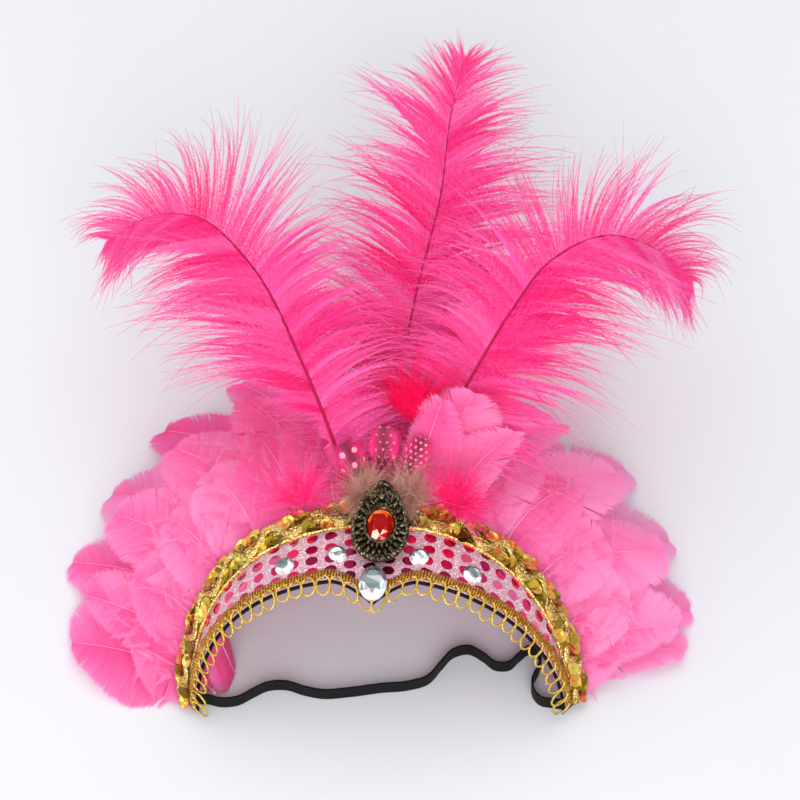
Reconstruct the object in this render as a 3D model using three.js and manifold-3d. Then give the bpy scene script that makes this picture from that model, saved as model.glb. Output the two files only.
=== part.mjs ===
// Feather headband for the stage, lying on its back: millimetres, +X to the wearer's left, +Y behind, +Z up.
// A stiff crescent band stands as an arch on its two ends. Its feathers fan out behind it,
// and an elastic strap runs loose on the surface between the ends.
import * as THREE from "three";
import { mergeVertices } from "three/addons/utils/BufferGeometryUtils.js";
import Module from "manifold-3d";

const wasm = await Module();
wasm.setup();

const deg = THREE.MathUtils.degToRad;
const UP = new THREE.Vector3(0, 0, 1);

// Driving dimensions, in millimetres and degrees.

// The band lies between two flat curves, its front and back edges, that meet near the ends.
// Their halves are superellipses: a power of 2 is an ellipse, and more is squarer.
const FRONT_EDGE = { halfWidth: 84, rise: 86, lean: 13, endY: 0, left: 2.4, right: 1.9 };
const BACK_EDGE = { halfWidth: 90, rise: 92, lean: 40, endY: 6, left: 2.35, right: 2.15 };
const PEAK = { depth: 17.5, halfShare: 0.075 }; // the point at the middle of the front edge
const BACKING_WALL = 2;
const FACING_WALL = 1;
const GAP = 0.4; // between pieces that touch

const TOP_TRIM = { width: 16, height: 3.6, waves: 22, waveDepth: 1.1 };
const LOOP_BRAID = { width: 6.5, height: 1.4, loops: 38, loopReach: 5.5, wire: 0.55 };

const STRAP = { width: 8, thickness: 1, floorGap: 0.4 };

const ROUND_STONE = { halfWidth: 4.5, halfLength: 4.5, height: 3 };
const DROP_STONE = { halfWidth: 6.5, halfLength: 9, height: 4.2 };
const BROOCH = { halfWidth: 13.4, length: 40, plate: 2.6, lumps: 12, lumpRadius: 3, tilt: 16 };
const BROOCH_STONE = { halfWidth: 6.2, halfLength: 8.6, height: 5 };
const BROOCH_SEAT = { up: 1.6, aside: 2.5 }; // the stone's pocket, over the plate's back and off its middle
const BROOCH_ON_BAND = { u: 0.5, fromBack: 21.5, right: 2.2 }; // right of the middle of the band

const GOOSE = { wall: 1.2, quillHalfWidth: 1.1, insideBand: 12, shingle: 2.4 };
const PLUME = { quillRadius: 1.5, tipRadius: 1 };
const PLUME_LOCK = { width: 19, thickness: 1.2 };
const PLUME_TIP = { length: 20, width: 9, thickness: 1.2, droop: 2 };

// Outer part of the band, where pieces are set on it, as heights over the middle of the backing.
const FACING_FOOT = BACKING_WALL / 2 + 0.5;
const FACING_FACE = FACING_FOOT + FACING_WALL;
const TRIM_FOOT = FACING_FACE + 0.7;

const FINISH = {
  black: { color: 0x1a1719, roughness: 0.9, metalness: 0 },
  pinkCloth: { color: 0xe39ab5, roughness: 0.7, metalness: 0 },
  gold: { color: 0xc9a227, roughness: 0.35, metalness: 1 },
  antiqueBrass: { color: 0x5b4a2a, roughness: 0.45, metalness: 1 },
  redStone: { color: 0xd8200c, roughness: 0.08, metalness: 0 },
  clearStone: { color: 0xdfe3e6, roughness: 0.06, metalness: 0 },
  goosePink: { color: 0xff5fa2, roughness: 0.8, metalness: 0 },
  plumePink: { color: 0xff2f7e, roughness: 0.85, metalness: 0 },
  guinea: { color: 0x6b2136, roughness: 0.8, metalness: 0 },
  greyDown: { color: 0x9a8478, roughness: 0.9, metalness: 0 },
};

// Geometry helpers.

// Turns a geometry's triangles round if they face inwards, and keeps only positions.
function facingOut(geometry) {
  geometry.deleteAttribute("normal");
  geometry.deleteAttribute("uv");
  const merged = mergeVertices(geometry, 1e-4);
  const at = merged.getAttribute("position");
  const index = merged.index.array;
  const [a, b, c] = [new THREE.Vector3(), new THREE.Vector3(), new THREE.Vector3()];
  let volume = 0;
  for (let i = 0; i < index.length; i += 3) {
    a.fromBufferAttribute(at, index[i]);
    b.fromBufferAttribute(at, index[i + 1]);
    c.fromBufferAttribute(at, index[i + 2]);
    volume += a.dot(b.cross(c));
  }
  if (volume < 0) {
    for (let i = 0; i < index.length; i += 3) {
      [index[i + 1], index[i + 2]] = [index[i + 2], index[i + 1]];
    }
  }
  merged.computeVertexNormals();
  return merged;
}

function fromTriangles(points, triangles) {
  const geometry = new THREE.BufferGeometry().setFromPoints(points);
  geometry.setIndex(triangles.flat());
  return facingOut(geometry);
}

// The triangles between rings of points, each ring going round the body in the same sense.
function skin(rings) {
  const around = rings[0].length;
  const triangles = [];
  for (let r = 0; r + 1 < rings.length; r++) {
    for (let k = 0; k < around; k++) {
      const [a, b] = [r * around + k, r * around + ((k + 1) % around)];
      triangles.push([a, b, b + around], [a, b + around, a + around]);
    }
  }
  return triangles;
}

// A closed body through rings of points.
function loft(rings) {
  const around = rings[0].length;
  const triangles = skin(rings);
  const last = (rings.length - 1) * around;
  for (let k = 1; k + 1 < around; k++) {
    triangles.push([0, k + 1, k], [last, last + k, last + k + 1]);
  }
  return fromTriangles(rings.flat(), triangles);
}

// A wall with a grid of points on both faces. pointAt(i, j, side) has side 1 above and -1 below.
function wall(across, along, pointAt) {
  const ring = (i) => [
    ...Array.from({ length: across + 1 }, (_, j) => pointAt(i, j, 1)),
    ...Array.from({ length: across + 1 }, (_, j) => pointAt(i, across - j, -1)),
  ];
  const rings = Array.from({ length: along + 1 }, (_, i) => ring(i));
  const around = rings[0].length;
  const triangles = skin(rings);
  for (const first of [0, along * around]) {
    for (let j = 0; j < across; j++) {
      const [a, b] = [first + j, first + j + 1];
      const [c, d] = [first + around - 1 - j, first + around - 2 - j];
      const cap = first === 0 ? [[a, c, b], [b, c, d]] : [[a, b, c], [b, d, c]];
      triangles.push(...cap);
    }
  }
  return fromTriangles(rings.flat(), triangles);
}

// A round rod along a curve, thinner towards its end, as rings of points.
function taperedRod(curve, steps, sides, radiusAt) {
  const rings = [];
  for (let i = 0; i <= steps; i++) {
    const share = i / steps;
    const centre = curve.getPointAt(share);
    const tangent = curve.getTangentAt(share);
    const side = new THREE.Vector3().crossVectors(tangent, UP).normalize();
    const over = new THREE.Vector3().crossVectors(side, tangent);
    rings.push(Array.from({ length: sides }, (_, k) => {
      const turn = (2 * Math.PI * (k + 0.5)) / sides;
      return centre.clone()
        .addScaledVector(side, radiusAt(share) * Math.cos(turn))
        .addScaledVector(over, radiusAt(share) * Math.sin(turn));
    }));
  }
  return loft(rings);
}

function toSolid(geometry) {
  const clean = facingOut(geometry.clone());
  return new wasm.Manifold(new wasm.Mesh({
    numProp: 3,
    vertProperties: new Float32Array(clean.getAttribute("position").array),
    triVerts: new Uint32Array(clean.index.array),
  }));
}

function toGeometry(solid) {
  const mesh = solid.getMesh();
  const geometry = new THREE.BufferGeometry();
  geometry.setAttribute("position", new THREE.BufferAttribute(new Float32Array(mesh.vertProperties), 3));
  geometry.setIndex(new THREE.BufferAttribute(new Uint32Array(mesh.triVerts), 1));
  geometry.computeVertexNormals();
  return geometry;
}

// Joins geometries into one body and leaves out specks of no volume.
function fused(geometries) {
  const joined = geometries.map(toSolid).reduce((sum, next) => sum.add(next));
  const bodies = joined.decompose().sort((a, b) => b.volume() - a.volume());
  return toGeometry(bodies[0]);
}

const object = new THREE.Group();

function piece(name, geometry, finish, parent = object) {
  const mesh = new THREE.Mesh(geometry, new THREE.MeshStandardMaterial(FINISH[finish]));
  mesh.name = name;
  parent.add(mesh);
  return mesh;
}

// The band's surface: u runs from the left end to the right, v from the front edge to the back edge.

const EDGE_POINTS = 24;

function edgeCurve({ halfWidth, rise, lean, endY, left, right }) {
  const points = [];
  for (let i = 0; i <= EDGE_POINTS; i++) {
    const turn = deg(-90 + (180 * i) / EDGE_POINTS);
    const power = 2 / (turn < 0 ? left : right);
    const x = Math.sign(turn) * halfWidth * Math.abs(Math.sin(turn)) ** power;
    const up = rise * Math.max(0, Math.cos(turn)) ** power;
    points.push(new THREE.Vector3(x, endY + up * Math.sin(deg(lean)), up * Math.cos(deg(lean))));
  }
  return new THREE.CatmullRomCurve3(points);
}

const frontEdge = edgeCurve(FRONT_EDGE);
const backEdge = edgeCurve(BACK_EDGE);

function bandMiddle(u, v) {
  const front = frontEdge.getPointAt(u);
  const back = backEdge.getPointAt(u);
  const reach = Math.max(0, 1 - Math.abs(u - 0.5) / PEAK.halfShare);
  const forward = front.clone().sub(back).normalize();
  front.addScaledVector(forward, PEAK.depth * reach ** 1.5);
  return front.lerp(back, v);
}

const STEP = 0.004; // of the band's length, for slopes

// The directions along the band, across it towards the back edge, and out of its face.
function bandAxes(u, v) {
  const [before, after] = [Math.max(0, u - STEP), Math.min(1, u + STEP)];
  const along = bandMiddle(after, v).sub(bandMiddle(before, v)).normalize();
  const across = bandMiddle(u, 1).sub(bandMiddle(u, 0)).normalize();
  const out = new THREE.Vector3().crossVectors(along, across).normalize();
  return { along, across, out };
}

function bandPoint(u, v, height = 0) {
  return bandMiddle(u, v).addScaledVector(bandAxes(u, v).out, height);
}

// The distance across the band at u, and the share v that is so far in from the back or front edge.
const bandWidth = (u) => bandMiddle(u, 0).distanceTo(bandMiddle(u, 1));
const fromBack = (u, distance) => 1 - distance / bandWidth(u);
const fromFront = (u, distance) => distance / bandWidth(u);

// Backing and facing: two walls of the same crescent. The backing's ends are cut flat, where they rest.

const BAND_STEPS = 34;

function crescent(firstU, lastU, inset, low, high, across, flatEnds) {
  return wall(across, BAND_STEPS, (i, j, side) => {
    const u = THREE.MathUtils.clamp(i / BAND_STEPS, firstU, lastU);
    const [v0, v1] = [fromFront(u, inset), fromBack(u, inset)];
    const point = bandPoint(u, v0 + ((v1 - v0) * j) / across, side > 0 ? high : low);
    if (flatEnds && (i === 0 || i === BAND_STEPS)) point.z = 0;
    return point;
  });
}

piece("band_backing", crescent(0, 1, 0, -BACKING_WALL / 2, BACKING_WALL / 2, 4, true), "black");
piece("band_facing", crescent(0.012, 0.988, 0.6, FACING_FOOT, FACING_FACE, 2, false), "pinkCloth");

// Sequin braid along the back edge: a domed strip whose sides wave in and out.

const TRIM_STEPS = 2 * BAND_STEPS;
const TRIM_SPAN = [0.016, 0.984];
const TRIM_SECTION = [ // share of the half width, share of the height
  { side: -1, up: 0 },
  { side: -0.85, up: 0.7 },
  { side: 0, up: 1 },
  { side: 0.85, up: 0.7 },
  { side: 1, up: 0 },
];

function topTrim() {
  const rings = [];
  for (let i = 0; i <= TRIM_STEPS; i++) {
    const share = i / TRIM_STEPS;
    const u = THREE.MathUtils.clamp(share, ...TRIM_SPAN);
    const wave = TOP_TRIM.waveDepth * Math.sin(2 * Math.PI * TOP_TRIM.waves * share);
    const half = Math.min(TOP_TRIM.width / 2, bandWidth(u) * 0.3);
    const middle = fromBack(u, half - 1);
    rings.push(TRIM_SECTION.map(({ side, up }) =>
      bandPoint(u, middle + (half * side + wave) / bandWidth(u), TRIM_FOOT + TOP_TRIM.height * up)));
  }
  return loft(rings);
}

piece("sequin_braid", topTrim(), "gold");

// Loop braid along the front edge: a flat strip with a row of wire loops past the edge.

const BRAID_SPAN = [0.02, 0.98];

function braidStrip() {
  return wall(1, BAND_STEPS, (i, j, side) => {
    const u = THREE.MathUtils.clamp(i / BAND_STEPS, ...BRAID_SPAN);
    const width = Math.min(LOOP_BRAID.width, bandWidth(u) * 0.34);
    return bandPoint(u, fromFront(u, 0.4 + width * j), TRIM_FOOT + (side > 0 ? LOOP_BRAID.height : 0));
  });
}

// The wire runs out and back past the strip's edge once for every loop.
const LOOP_TURN = [ // along the band in loops from the loop's middle, share of the reach
  { aside: -0.46, reach: 0.12 },
  { aside: -0.36, reach: 0.62 },
  { aside: 0, reach: 1 },
  { aside: 0.36, reach: 0.62 },
];

function loopWire() {
  const span = (BRAID_SPAN[1] - BRAID_SPAN[0]) / LOOP_BRAID.loops;
  const height = TRIM_FOOT + LOOP_BRAID.height / 2;
  const points = [];
  for (let number = 0; number < LOOP_BRAID.loops; number++) {
    for (const { aside, reach } of LOOP_TURN) {
      const u = BRAID_SPAN[0] + span * (number + 0.5 + aside);
      points.push(bandPoint(u, fromFront(u, -0.3 - LOOP_BRAID.loopReach * reach), height));
    }
  }
  const rings = points.map((centre, i) => {
    const [before, after] = [points[Math.max(i - 1, 0)], points[Math.min(i + 1, points.length - 1)]];
    const tangent = after.clone().sub(before).normalize();
    const { out } = bandAxes(THREE.MathUtils.lerp(...BRAID_SPAN, i / (points.length - 1)), 0);
    const side = new THREE.Vector3().crossVectors(tangent, out).normalize();
    return [[1, 0], [-0.5, 0.87], [-0.5, -0.87]].map(([a, b]) =>
      centre.clone().addScaledVector(side, a * LOOP_BRAID.wire).addScaledVector(out, b * LOOP_BRAID.wire));
  });
  return loft(rings);
}

piece("gimp_braid", braidStrip(), "gold");
piece("loop_wire", loopWire(), "gold");

// Elastic strap: it lies on edge on the surface, from inside the left end to inside the right end.

const STRAP_ROUTE = [ // x, y on the surface
  [-81.5, 5.2], [-75, 3.6], [-67, 4.4], [-60, 8.5], [-53, 12.3], [-44, 12.8], [-36, 10], [-28, 8.2],
  [-14, 9.2], [0, 11.4], [13, 12.8], [22, 16], [28, 23.5], [34, 30.6], [41, 32.6], [48, 28.6],
  [54, 23.6], [60, 23.6], [65, 28.6], [70, 32.4], [74.5, 29.5], [74, 22], [71, 14.5], [71.8, 8],
  [75, 4.2], [79.5, 3.2],
];
const STRAP_STEPS = 34;

function strap() {
  const [half, thin] = [STRAP.width / 2, STRAP.thickness / 2];
  const section = new THREE.Shape([
    [-half + thin, thin], [half - thin, thin], [half, thin * 0.4], [half, -thin * 0.4],
    [half - thin, -thin], [-half + thin, -thin], [-half, -thin * 0.4], [-half, thin * 0.4],
  ].map(([x, y]) => new THREE.Vector2(x, y)));
  const height = half + STRAP.floorGap;
  const route = STRAP_ROUTE.map(([x, y]) => new THREE.Vector3(x, y, height));
  const extrudePath = new THREE.CatmullRomCurve3(route);
  const settings = { steps: STRAP_STEPS, extrudePath, bevelEnabled: false };
  return facingOut(new THREE.ExtrudeGeometry(section, settings));
}

piece("elastic_strap", strap(), "black");

// Stones with a flat back, a girdle, ten crown facets and a table. Their own frame has +Y out of the table.

const STONE_FACETS = 10;

function stone({ halfWidth, halfLength, height }) {
  const profile = [[0, 0], [1, 0], [1, 0.35 * height], [0.58, height], [0, height]];
  const cut = new THREE.LatheGeometry(profile.map(([x, y]) => new THREE.Vector2(x, y)), STONE_FACETS);
  return facingOut(cut.scale(halfWidth, 1, halfLength));
}

// Sets a piece made with +Y out and -Z towards the back edge onto the band's face.
function setOnBand(mesh, u, v, height, tilt = 0) {
  const { along, across, out } = bandAxes(u, v);
  mesh.position.copy(bandPoint(u, v, height));
  mesh.quaternion.setFromRotationMatrix(new THREE.Matrix4().makeBasis(along, out, across.negate()));
  mesh.rotateX(deg(tilt));
  return mesh;
}

const STONES_ON_BAND = [ // name, place along the band, distance in from the front edge
  { name: "round_stone_1", u: 0.351, in: 15 },
  { name: "round_stone_2", u: 0.439, in: 18 },
  { name: "round_stone_3", u: 0.571, in: 15.5 },
  { name: "round_stone_4", u: 0.663, in: 13.3 },
];
for (const { name, u, in: inset } of STONES_ON_BAND) {
  setOnBand(piece(name, stone(ROUND_STONE), "clearStone"), u, fromFront(u, inset), TRIM_FOOT);
}
setOnBand(piece("drop_stone", stone(DROP_STONE), "clearStone"), 0.5, fromFront(0.5, 8.5),
  TRIM_FOOT + LOOP_BRAID.height + 2 * GAP);

// Brooch: a pear-shaped plate with a rim of cast lumps and a pocket for the oval stone.
// Its own frame has +Y out of the face and -Z towards the pear's narrow end.

function broochOutline(turn) {
  const narrow = 0.5 + 0.5 * Math.cos(turn); // 1 at the narrow end
  const x = BROOCH.halfWidth * Math.sin(turn) * (1 - 0.42 * narrow ** 2);
  const z = -BROOCH.length * (0.5 * Math.cos(turn) + 0.06 * narrow ** 2);
  return new THREE.Vector2(x, z);
}

function broochSetting() {
  const outline = Array.from({ length: 24 }, (_, i) => broochOutline((2 * Math.PI * i) / 24));
  const plate = new THREE.ExtrudeGeometry(new THREE.Shape(outline), {
    depth: BROOCH.plate * 0.4,
    bevelThickness: BROOCH.plate * 0.6,
    bevelSize: 1.6,
    bevelSegments: 1,
    bevelOffset: -1.6,
  });
  plate.rotateX(Math.PI / 2).scale(1, -1, 1);
  const lumps = Array.from({ length: BROOCH.lumps }, (_, i) => {
    const at = broochOutline((2 * Math.PI * (i + 0.5)) / BROOCH.lumps).multiplyScalar(0.84);
    return new THREE.OctahedronGeometry(BROOCH.lumpRadius)
      .scale(1, 0.8, 1).translate(at.x, BROOCH.plate * 0.7, at.y);
  });
  const collar = new THREE.LatheGeometry(
    [[0, 0], [1.25, 0], [1.2, 3.4], [1.1, 4.2], [0, 4.2]].map(([x, y]) => new THREE.Vector2(x, y)), 12);
  collar.scale(BROOCH_STONE.halfWidth, 1, BROOCH_STONE.halfLength).translate(0, 0, BROOCH_SEAT.aside);
  const pocket = new THREE.CylinderGeometry(1, 1, 10, 12).scale(
    BROOCH_STONE.halfWidth + GAP, 1, BROOCH_STONE.halfLength + GAP);
  pocket.translate(0, BROOCH_SEAT.up + 5, BROOCH_SEAT.aside);
  const cast = [plate, ...lumps, collar].map(toSolid).reduce((joined, next) => joined.add(next));
  return toGeometry(cast.subtract(toSolid(pocket)));
}

const brooch = new THREE.Group();
object.add(brooch);
piece("brooch_setting", broochSetting(), "antiqueBrass", brooch);
const redStone = piece("brooch_stone", stone(BROOCH_STONE), "redStone", brooch);
redStone.position.set(0, BROOCH_SEAT.up + GAP, BROOCH_SEAT.aside);
const BROOCH_HEIGHT = TRIM_FOOT + TOP_TRIM.height + 4.4;
const broochShare = fromBack(BROOCH_ON_BAND.u, BROOCH_ON_BAND.fromBack);
setOnBand(brooch, BROOCH_ON_BAND.u, broochShare, BROOCH_HEIGHT, BROOCH.tilt).translateX(BROOCH_ON_BAND.right);

// Goose feathers: broad blades laid like roof tiles on a fan that falls from the back edge to the surface.

const LEFT_FAN = [ // place along the band, and the fan's outer end
  { u: 0.03, x: -146, y: 34, z: 6 },
  { u: 0.12, x: -150, y: 76, z: 3 },
  { u: 0.22, x: -136, y: 112, z: 2 },
  { u: 0.31, x: -118, y: 147, z: 1.5 },
  { u: 0.39, x: -88, y: 178, z: 3 },
  { u: 0.45, x: -56, y: 170, z: 36 },
];
const RIGHT_FAN = [
  { u: 0.97, x: 141, y: 24, z: 6 },
  { u: 0.89, x: 148, y: 50, z: 3 },
  { u: 0.79, x: 143, y: 85, z: 2 },
  { u: 0.70, x: 128, y: 123, z: 1.5 },
  { u: 0.62, x: 104, y: 146, z: 18 },
  { u: 0.55, x: 66, y: 144, z: 60 },
];

const CREST_FAN = [ // the raised feather right of the middle
  { u: 0.62, x: 76, y: 110, z: 98 },
  { u: 0.575, x: 48, y: 107, z: 111 },
  { u: 0.535, x: 22, y: 116, z: 112 },
];

// A fan as functions: place along it from 0 at the band's end to 1 near the middle, and reach from 0 to 1.
function fanSurface(table) {
  const ends = new THREE.CatmullRomCurve3(table.map(({ x, y, z }) => new THREE.Vector3(x, y, z)));
  const placeU = new THREE.SplineCurve(table.map(({ u }, i) => new THREE.Vector2(i, u)));
  const sign = Math.sign(table[0].x);
  const within = (place, reach) => {
    const u = placeU.getPoint(place).y;
    const root = bandPoint(u, 1);
    const { across, out } = bandAxes(u, 1);
    const end = ends.getPoint(place);
    const far = root.distanceTo(end);
    if (reach < 0) return root.addScaledVector(across, reach * far);
    const turn = root.clone().addScaledVector(across, far * 0.45).addScaledVector(out, far * 0.1);
    return new THREE.QuadraticBezierCurve3(root, turn, end).getPoint(reach);
  };
  const middle = (place, reach) => {
    const near = THREE.MathUtils.clamp(place, 0, 1);
    const inner = THREE.MathUtils.clamp(place, 0.1, 0.9);
    const at = within(near, reach);
    if (near === place) return at;
    return at.lerp(within(inner, reach), (place - near) / (inner - near));
  };
  const slope = 0.01;
  const over = (place, reach) => {
    const side = middle(place + slope, reach).sub(middle(place - slope, reach));
    const away = middle(place, reach + slope).sub(middle(place, reach - slope));
    return new THREE.Vector3().crossVectors(side, away).multiplyScalar(-sign).normalize();
  };
  return { middle, over };
}

const BLADE = [ // along the feather from its quill to its tip, share of the half width
  { along: 0, half: 0 }, { along: 0.2, half: 0 }, { along: 0.31, half: 0.6 }, { along: 0.5, half: 0.94 },
  { along: 0.72, half: 1 }, { along: 0.9, half: 0.82 }, { along: 1, half: 0.36 },
];

// One feather: place on the fan, reach of its tip, half width, rise of its tip, and height of its row.
function gooseFeather(fan, { place, reach, half, rise, row }) {
  const root = fan.middle(place, 0);
  const first = -GOOSE.insideBand / root.distanceTo(fan.middle(place, 1));
  const across = 4;
  return wall(across, BLADE.length - 1, (i, j, side) => {
    const along = first + (reach - first) * BLADE[i].along;
    const bow = Math.max(0, along);
    const halfWidth = GOOSE.quillHalfWidth + (half - GOOSE.quillHalfWidth) * BLADE[i].half;
    const lateral = halfWidth * (-1 + (2 * j) / across);
    const perPlace = fan.middle(place + 0.02, bow).distanceTo(fan.middle(place - 0.02, bow)) / 0.04;
    const shift = lateral / Math.max(perPlace, 1);
    const tile = -GOOSE.shingle * (lateral / Math.max(half, 1)) * Math.min(1, bow * 2.2);
    const height = row.root + (row.tip - row.root) * bow + tile + rise * bow ** 2 + (side * GOOSE.wall) / 2;
    const at = fan.middle(place + shift, along).addScaledVector(fan.over(place + shift, along), height);
    at.z = Math.max(at.z, row.floor + (side > 0 ? GOOSE.wall : 0));
    return at;
  });
}

const BACK_ROW = { root: -8, tip: -1.5, floor: 0 };
const FRONT_ROW = { root: -4.4, tip: 7.5, floor: 2.4 };
const CREST_ROW = { root: -4.4, tip: 3, floor: 0 };
const GOOSE_FEATHERS = [ // fan, place, reach, half width, rise of the tip, row
  { fan: "left", place: 0.02, reach: 1, half: 22, rise: 0, row: BACK_ROW },
  { fan: "left", place: 0.24, reach: 1, half: 23, rise: 0, row: BACK_ROW },
  { fan: "left", place: 0.46, reach: 1, half: 24, rise: 0, row: BACK_ROW },
  { fan: "left", place: 0.68, reach: 1, half: 24, rise: 0, row: BACK_ROW },
  { fan: "left", place: 0.9, reach: 1, half: 23, rise: 0, row: BACK_ROW },
  { fan: "left", place: 0.13, reach: 0.85, half: 20, rise: 3, row: FRONT_ROW },
  { fan: "left", place: 0.36, reach: 0.82, half: 21, rise: 4, row: FRONT_ROW },
  { fan: "left", place: 0.59, reach: 0.76, half: 21, rise: 4, row: FRONT_ROW },
  { fan: "left", place: 0.82, reach: 0.72, half: 20, rise: 6, row: FRONT_ROW },
  { fan: "right", place: 0.02, reach: 1, half: 20, rise: 0, row: BACK_ROW },
  { fan: "right", place: 0.25, reach: 1, half: 22, rise: 0, row: BACK_ROW },
  { fan: "right", place: 0.46, reach: 1, half: 23, rise: 0, row: BACK_ROW },
  { fan: "right", place: 0.68, reach: 1, half: 23, rise: 0, row: BACK_ROW },
  { fan: "right", place: 0.9, reach: 0.95, half: 21, rise: 0, row: BACK_ROW },
  { fan: "right", place: 0.13, reach: 0.9, half: 20, rise: 3, row: FRONT_ROW },
  { fan: "right", place: 0.36, reach: 0.85, half: 21, rise: 5, row: FRONT_ROW },
  { fan: "right", place: 0.59, reach: 0.8, half: 21, rise: 8, row: FRONT_ROW },
  { fan: "right", place: 0.82, reach: 0.8, half: 19, rise: 10, row: FRONT_ROW },
  { fan: "crest", place: 0.56, reach: 1, half: 18, rise: 0, row: CREST_ROW },
];

const fans = { left: fanSurface(LEFT_FAN), right: fanSurface(RIGHT_FAN), crest: fanSurface(CREST_FAN) };
const count = { left: 0, right: 0, crest: 0 };
for (const feather of GOOSE_FEATHERS) {
  count[feather.fan] += 1;
  piece(`goose_${feather.fan}_${count[feather.fan]}`, gooseFeather(fans[feather.fan], feather), "goosePink");
}

// Ostrich plumes: a quill that droops at its tip, with locks of barbs on both sides.

const QUILLS = { // x, y, z of points up each quill
  left: [[-9, 47, 60], [-14.5, 76, 70], [-37, 127, 106], [-62, 176, 117], [-85, 202, 116],
    [-109, 213, 103], [-130, 211, 87], [-139, 211, 78]],
  centre: [[1, 47, 60], [3, 78, 69.5], [10, 140, 84], [17, 179, 90], [28, 230, 94],
    [34, 282, 96], [41, 318, 95]],
  right: [[6.5, 48, 57], [12.5, 78, 64.5], [41, 122, 96], [61, 150, 114], [78, 170, 124], [105, 186, 124],
    [129, 189, 110], [147, 185, 90], [154, 183, 76]],
};
const LOCK_TABLE = [ // share up the quill, share of the longest lock, sweep towards the tip in degrees
  { at: 0.3, long: 0.72, sweep: 24 },
  { at: 0.42, long: 0.93, sweep: 28 },
  { at: 0.54, long: 1, sweep: 33 },
  { at: 0.66, long: 0.97, sweep: 39 },
  { at: 0.77, long: 0.87, sweep: 46 },
  { at: 0.86, long: 0.73, sweep: 54 },
  { at: 0.94, long: 0.55, sweep: 64 },
];
const LOCK_OUTLINE = [ // share along a lock, share of its half width, share of its thickness
  { share: 0, half: 0.35, thin: 1 }, { share: 0.34, half: 1, thin: 0.9 },
  { share: 0.7, half: 0.75, thin: 0.75 }, { share: 1, half: 0.18, thin: 0.5 },
];

// A flat tapering strip from root along a first direction, bending down by droop at its end.
function lock(root, along, wide, { length, width, thickness, droop }) {
  const over = new THREE.Vector3().crossVectors(along, wide).normalize();
  const rings = LOCK_OUTLINE.map(({ share, half, thin }) => {
    const centre = root.clone().addScaledVector(along, length * share);
    centre.z -= droop * share ** 2;
    return [[1, 1], [-1, 1], [-1, -1], [1, -1]].map(([a, b]) => centre.clone()
      .addScaledVector(wide, (a * half * width) / 2).addScaledVector(over, (b * thin * thickness) / 2));
  });
  return loft(rings);
}

function plume(points, { longest, droop, lean }) {
  const quill = new THREE.CatmullRomCurve3(points.map((p) => new THREE.Vector3(...p)));
  const radiusAt = (share) => THREE.MathUtils.lerp(PLUME.quillRadius, PLUME.tipRadius, share);
  const rod = taperedRod(quill, 14, 4, radiusAt);
  const face = new THREE.Vector3(0, -Math.sin(deg(lean)), Math.cos(deg(lean)));
  const locks = [];
  for (const { at, long, sweep } of LOCK_TABLE) {
    for (const side of [-1, 1]) {
      const tangent = quill.getTangentAt(at);
      const aside = new THREE.Vector3().crossVectors(tangent, face).normalize().multiplyScalar(side);
      const along = aside.multiplyScalar(Math.cos(deg(sweep))).addScaledVector(tangent, Math.sin(deg(sweep)));
      const size = { ...PLUME_LOCK, length: longest[side] * long, droop: droop * long };
      const root = quill.getPointAt(at).addScaledVector(along.normalize(), -0.4 - 0.2 * side);
      locks.push(lock(root, along, tangent, size));
    }
  }
  const end = quill.getTangentAt(1);
  const wide = new THREE.Vector3().crossVectors(end, face).normalize();
  locks.push(lock(quill.getPointAt(0.96), end, wide, PLUME_TIP));
  return fused([rod, ...locks]);
}

// The longest lock on the left (-1) and right (1) of each quill, its droop, and the lean of the vane.
const PLUMES = {
  left: { longest: { "-1": 52, 1: 46 }, droop: 9, lean: 20 },
  centre: { longest: { "-1": 50, 1: 50 }, droop: 8, lean: 10 },
  right: { longest: { "-1": 46, 1: 58 }, droop: 12, lean: 20 },
};
for (const [side, shape] of Object.entries(PLUMES)) {
  piece(`plume_${side}`, plume(QUILLS[side], shape), "plumePink");
}

// Small feathers at the middle: spotted blades and down behind the brooch, and marabou beside it.

function tuft({ at, along, spread, count: strands, length, width }) {
  const head = new THREE.Vector3(...at);
  const forward = new THREE.Vector3(...along).normalize();
  const aside = new THREE.Vector3().crossVectors(forward, UP).normalize();
  const core = new THREE.IcosahedronGeometry(width * 0.6, 0).translate(...at);
  const strips = Array.from({ length: strands }, (_, i) => {
    const turn = deg(spread) * ((2 * i) / (strands - 1) - 1);
    const direction = forward.clone().multiplyScalar(Math.cos(turn)).addScaledVector(aside, Math.sin(turn));
    const wide = new THREE.Vector3().crossVectors(direction, UP).normalize();
    const size = { length: length * (1 - 0.12 * (i % 2)), width, thickness: 2, droop: i % 2 ? -2 : 1.5 };
    return lock(head, direction, wide, size);
  });
  return fused([core, ...strips]);
}

const MARABOU = { finish: "plumePink", spread: 55, count: 6, length: 24, width: 5 };
const DOWN = { finish: "greyDown", spread: 38, count: 4, length: 17, width: 5 };
const TUFTS = [ // name, kind, head, first direction
  { name: "marabou_left", kind: MARABOU, at: [-36, 64, 82], along: [-0.1, 1, 0.25] },
  { name: "marabou_right", kind: MARABOU, at: [33, 60, 84], along: [0.5, 0.55, 0.3] },
  { name: "marabou_centre", kind: MARABOU, at: [11, 104, 95], along: [0.1, 1, 0.1] },
  { name: "down_left", kind: DOWN, at: [-9, 69, 78], along: [-0.35, 0.8, 0.4] },
  { name: "down_right", kind: DOWN, at: [14, 69, 77], along: [0.6, 0.65, 0.4] },
];
for (const { name, kind, at, along } of TUFTS) {
  piece(name, tuft({ at, along, ...kind }), kind.finish);
}

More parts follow.
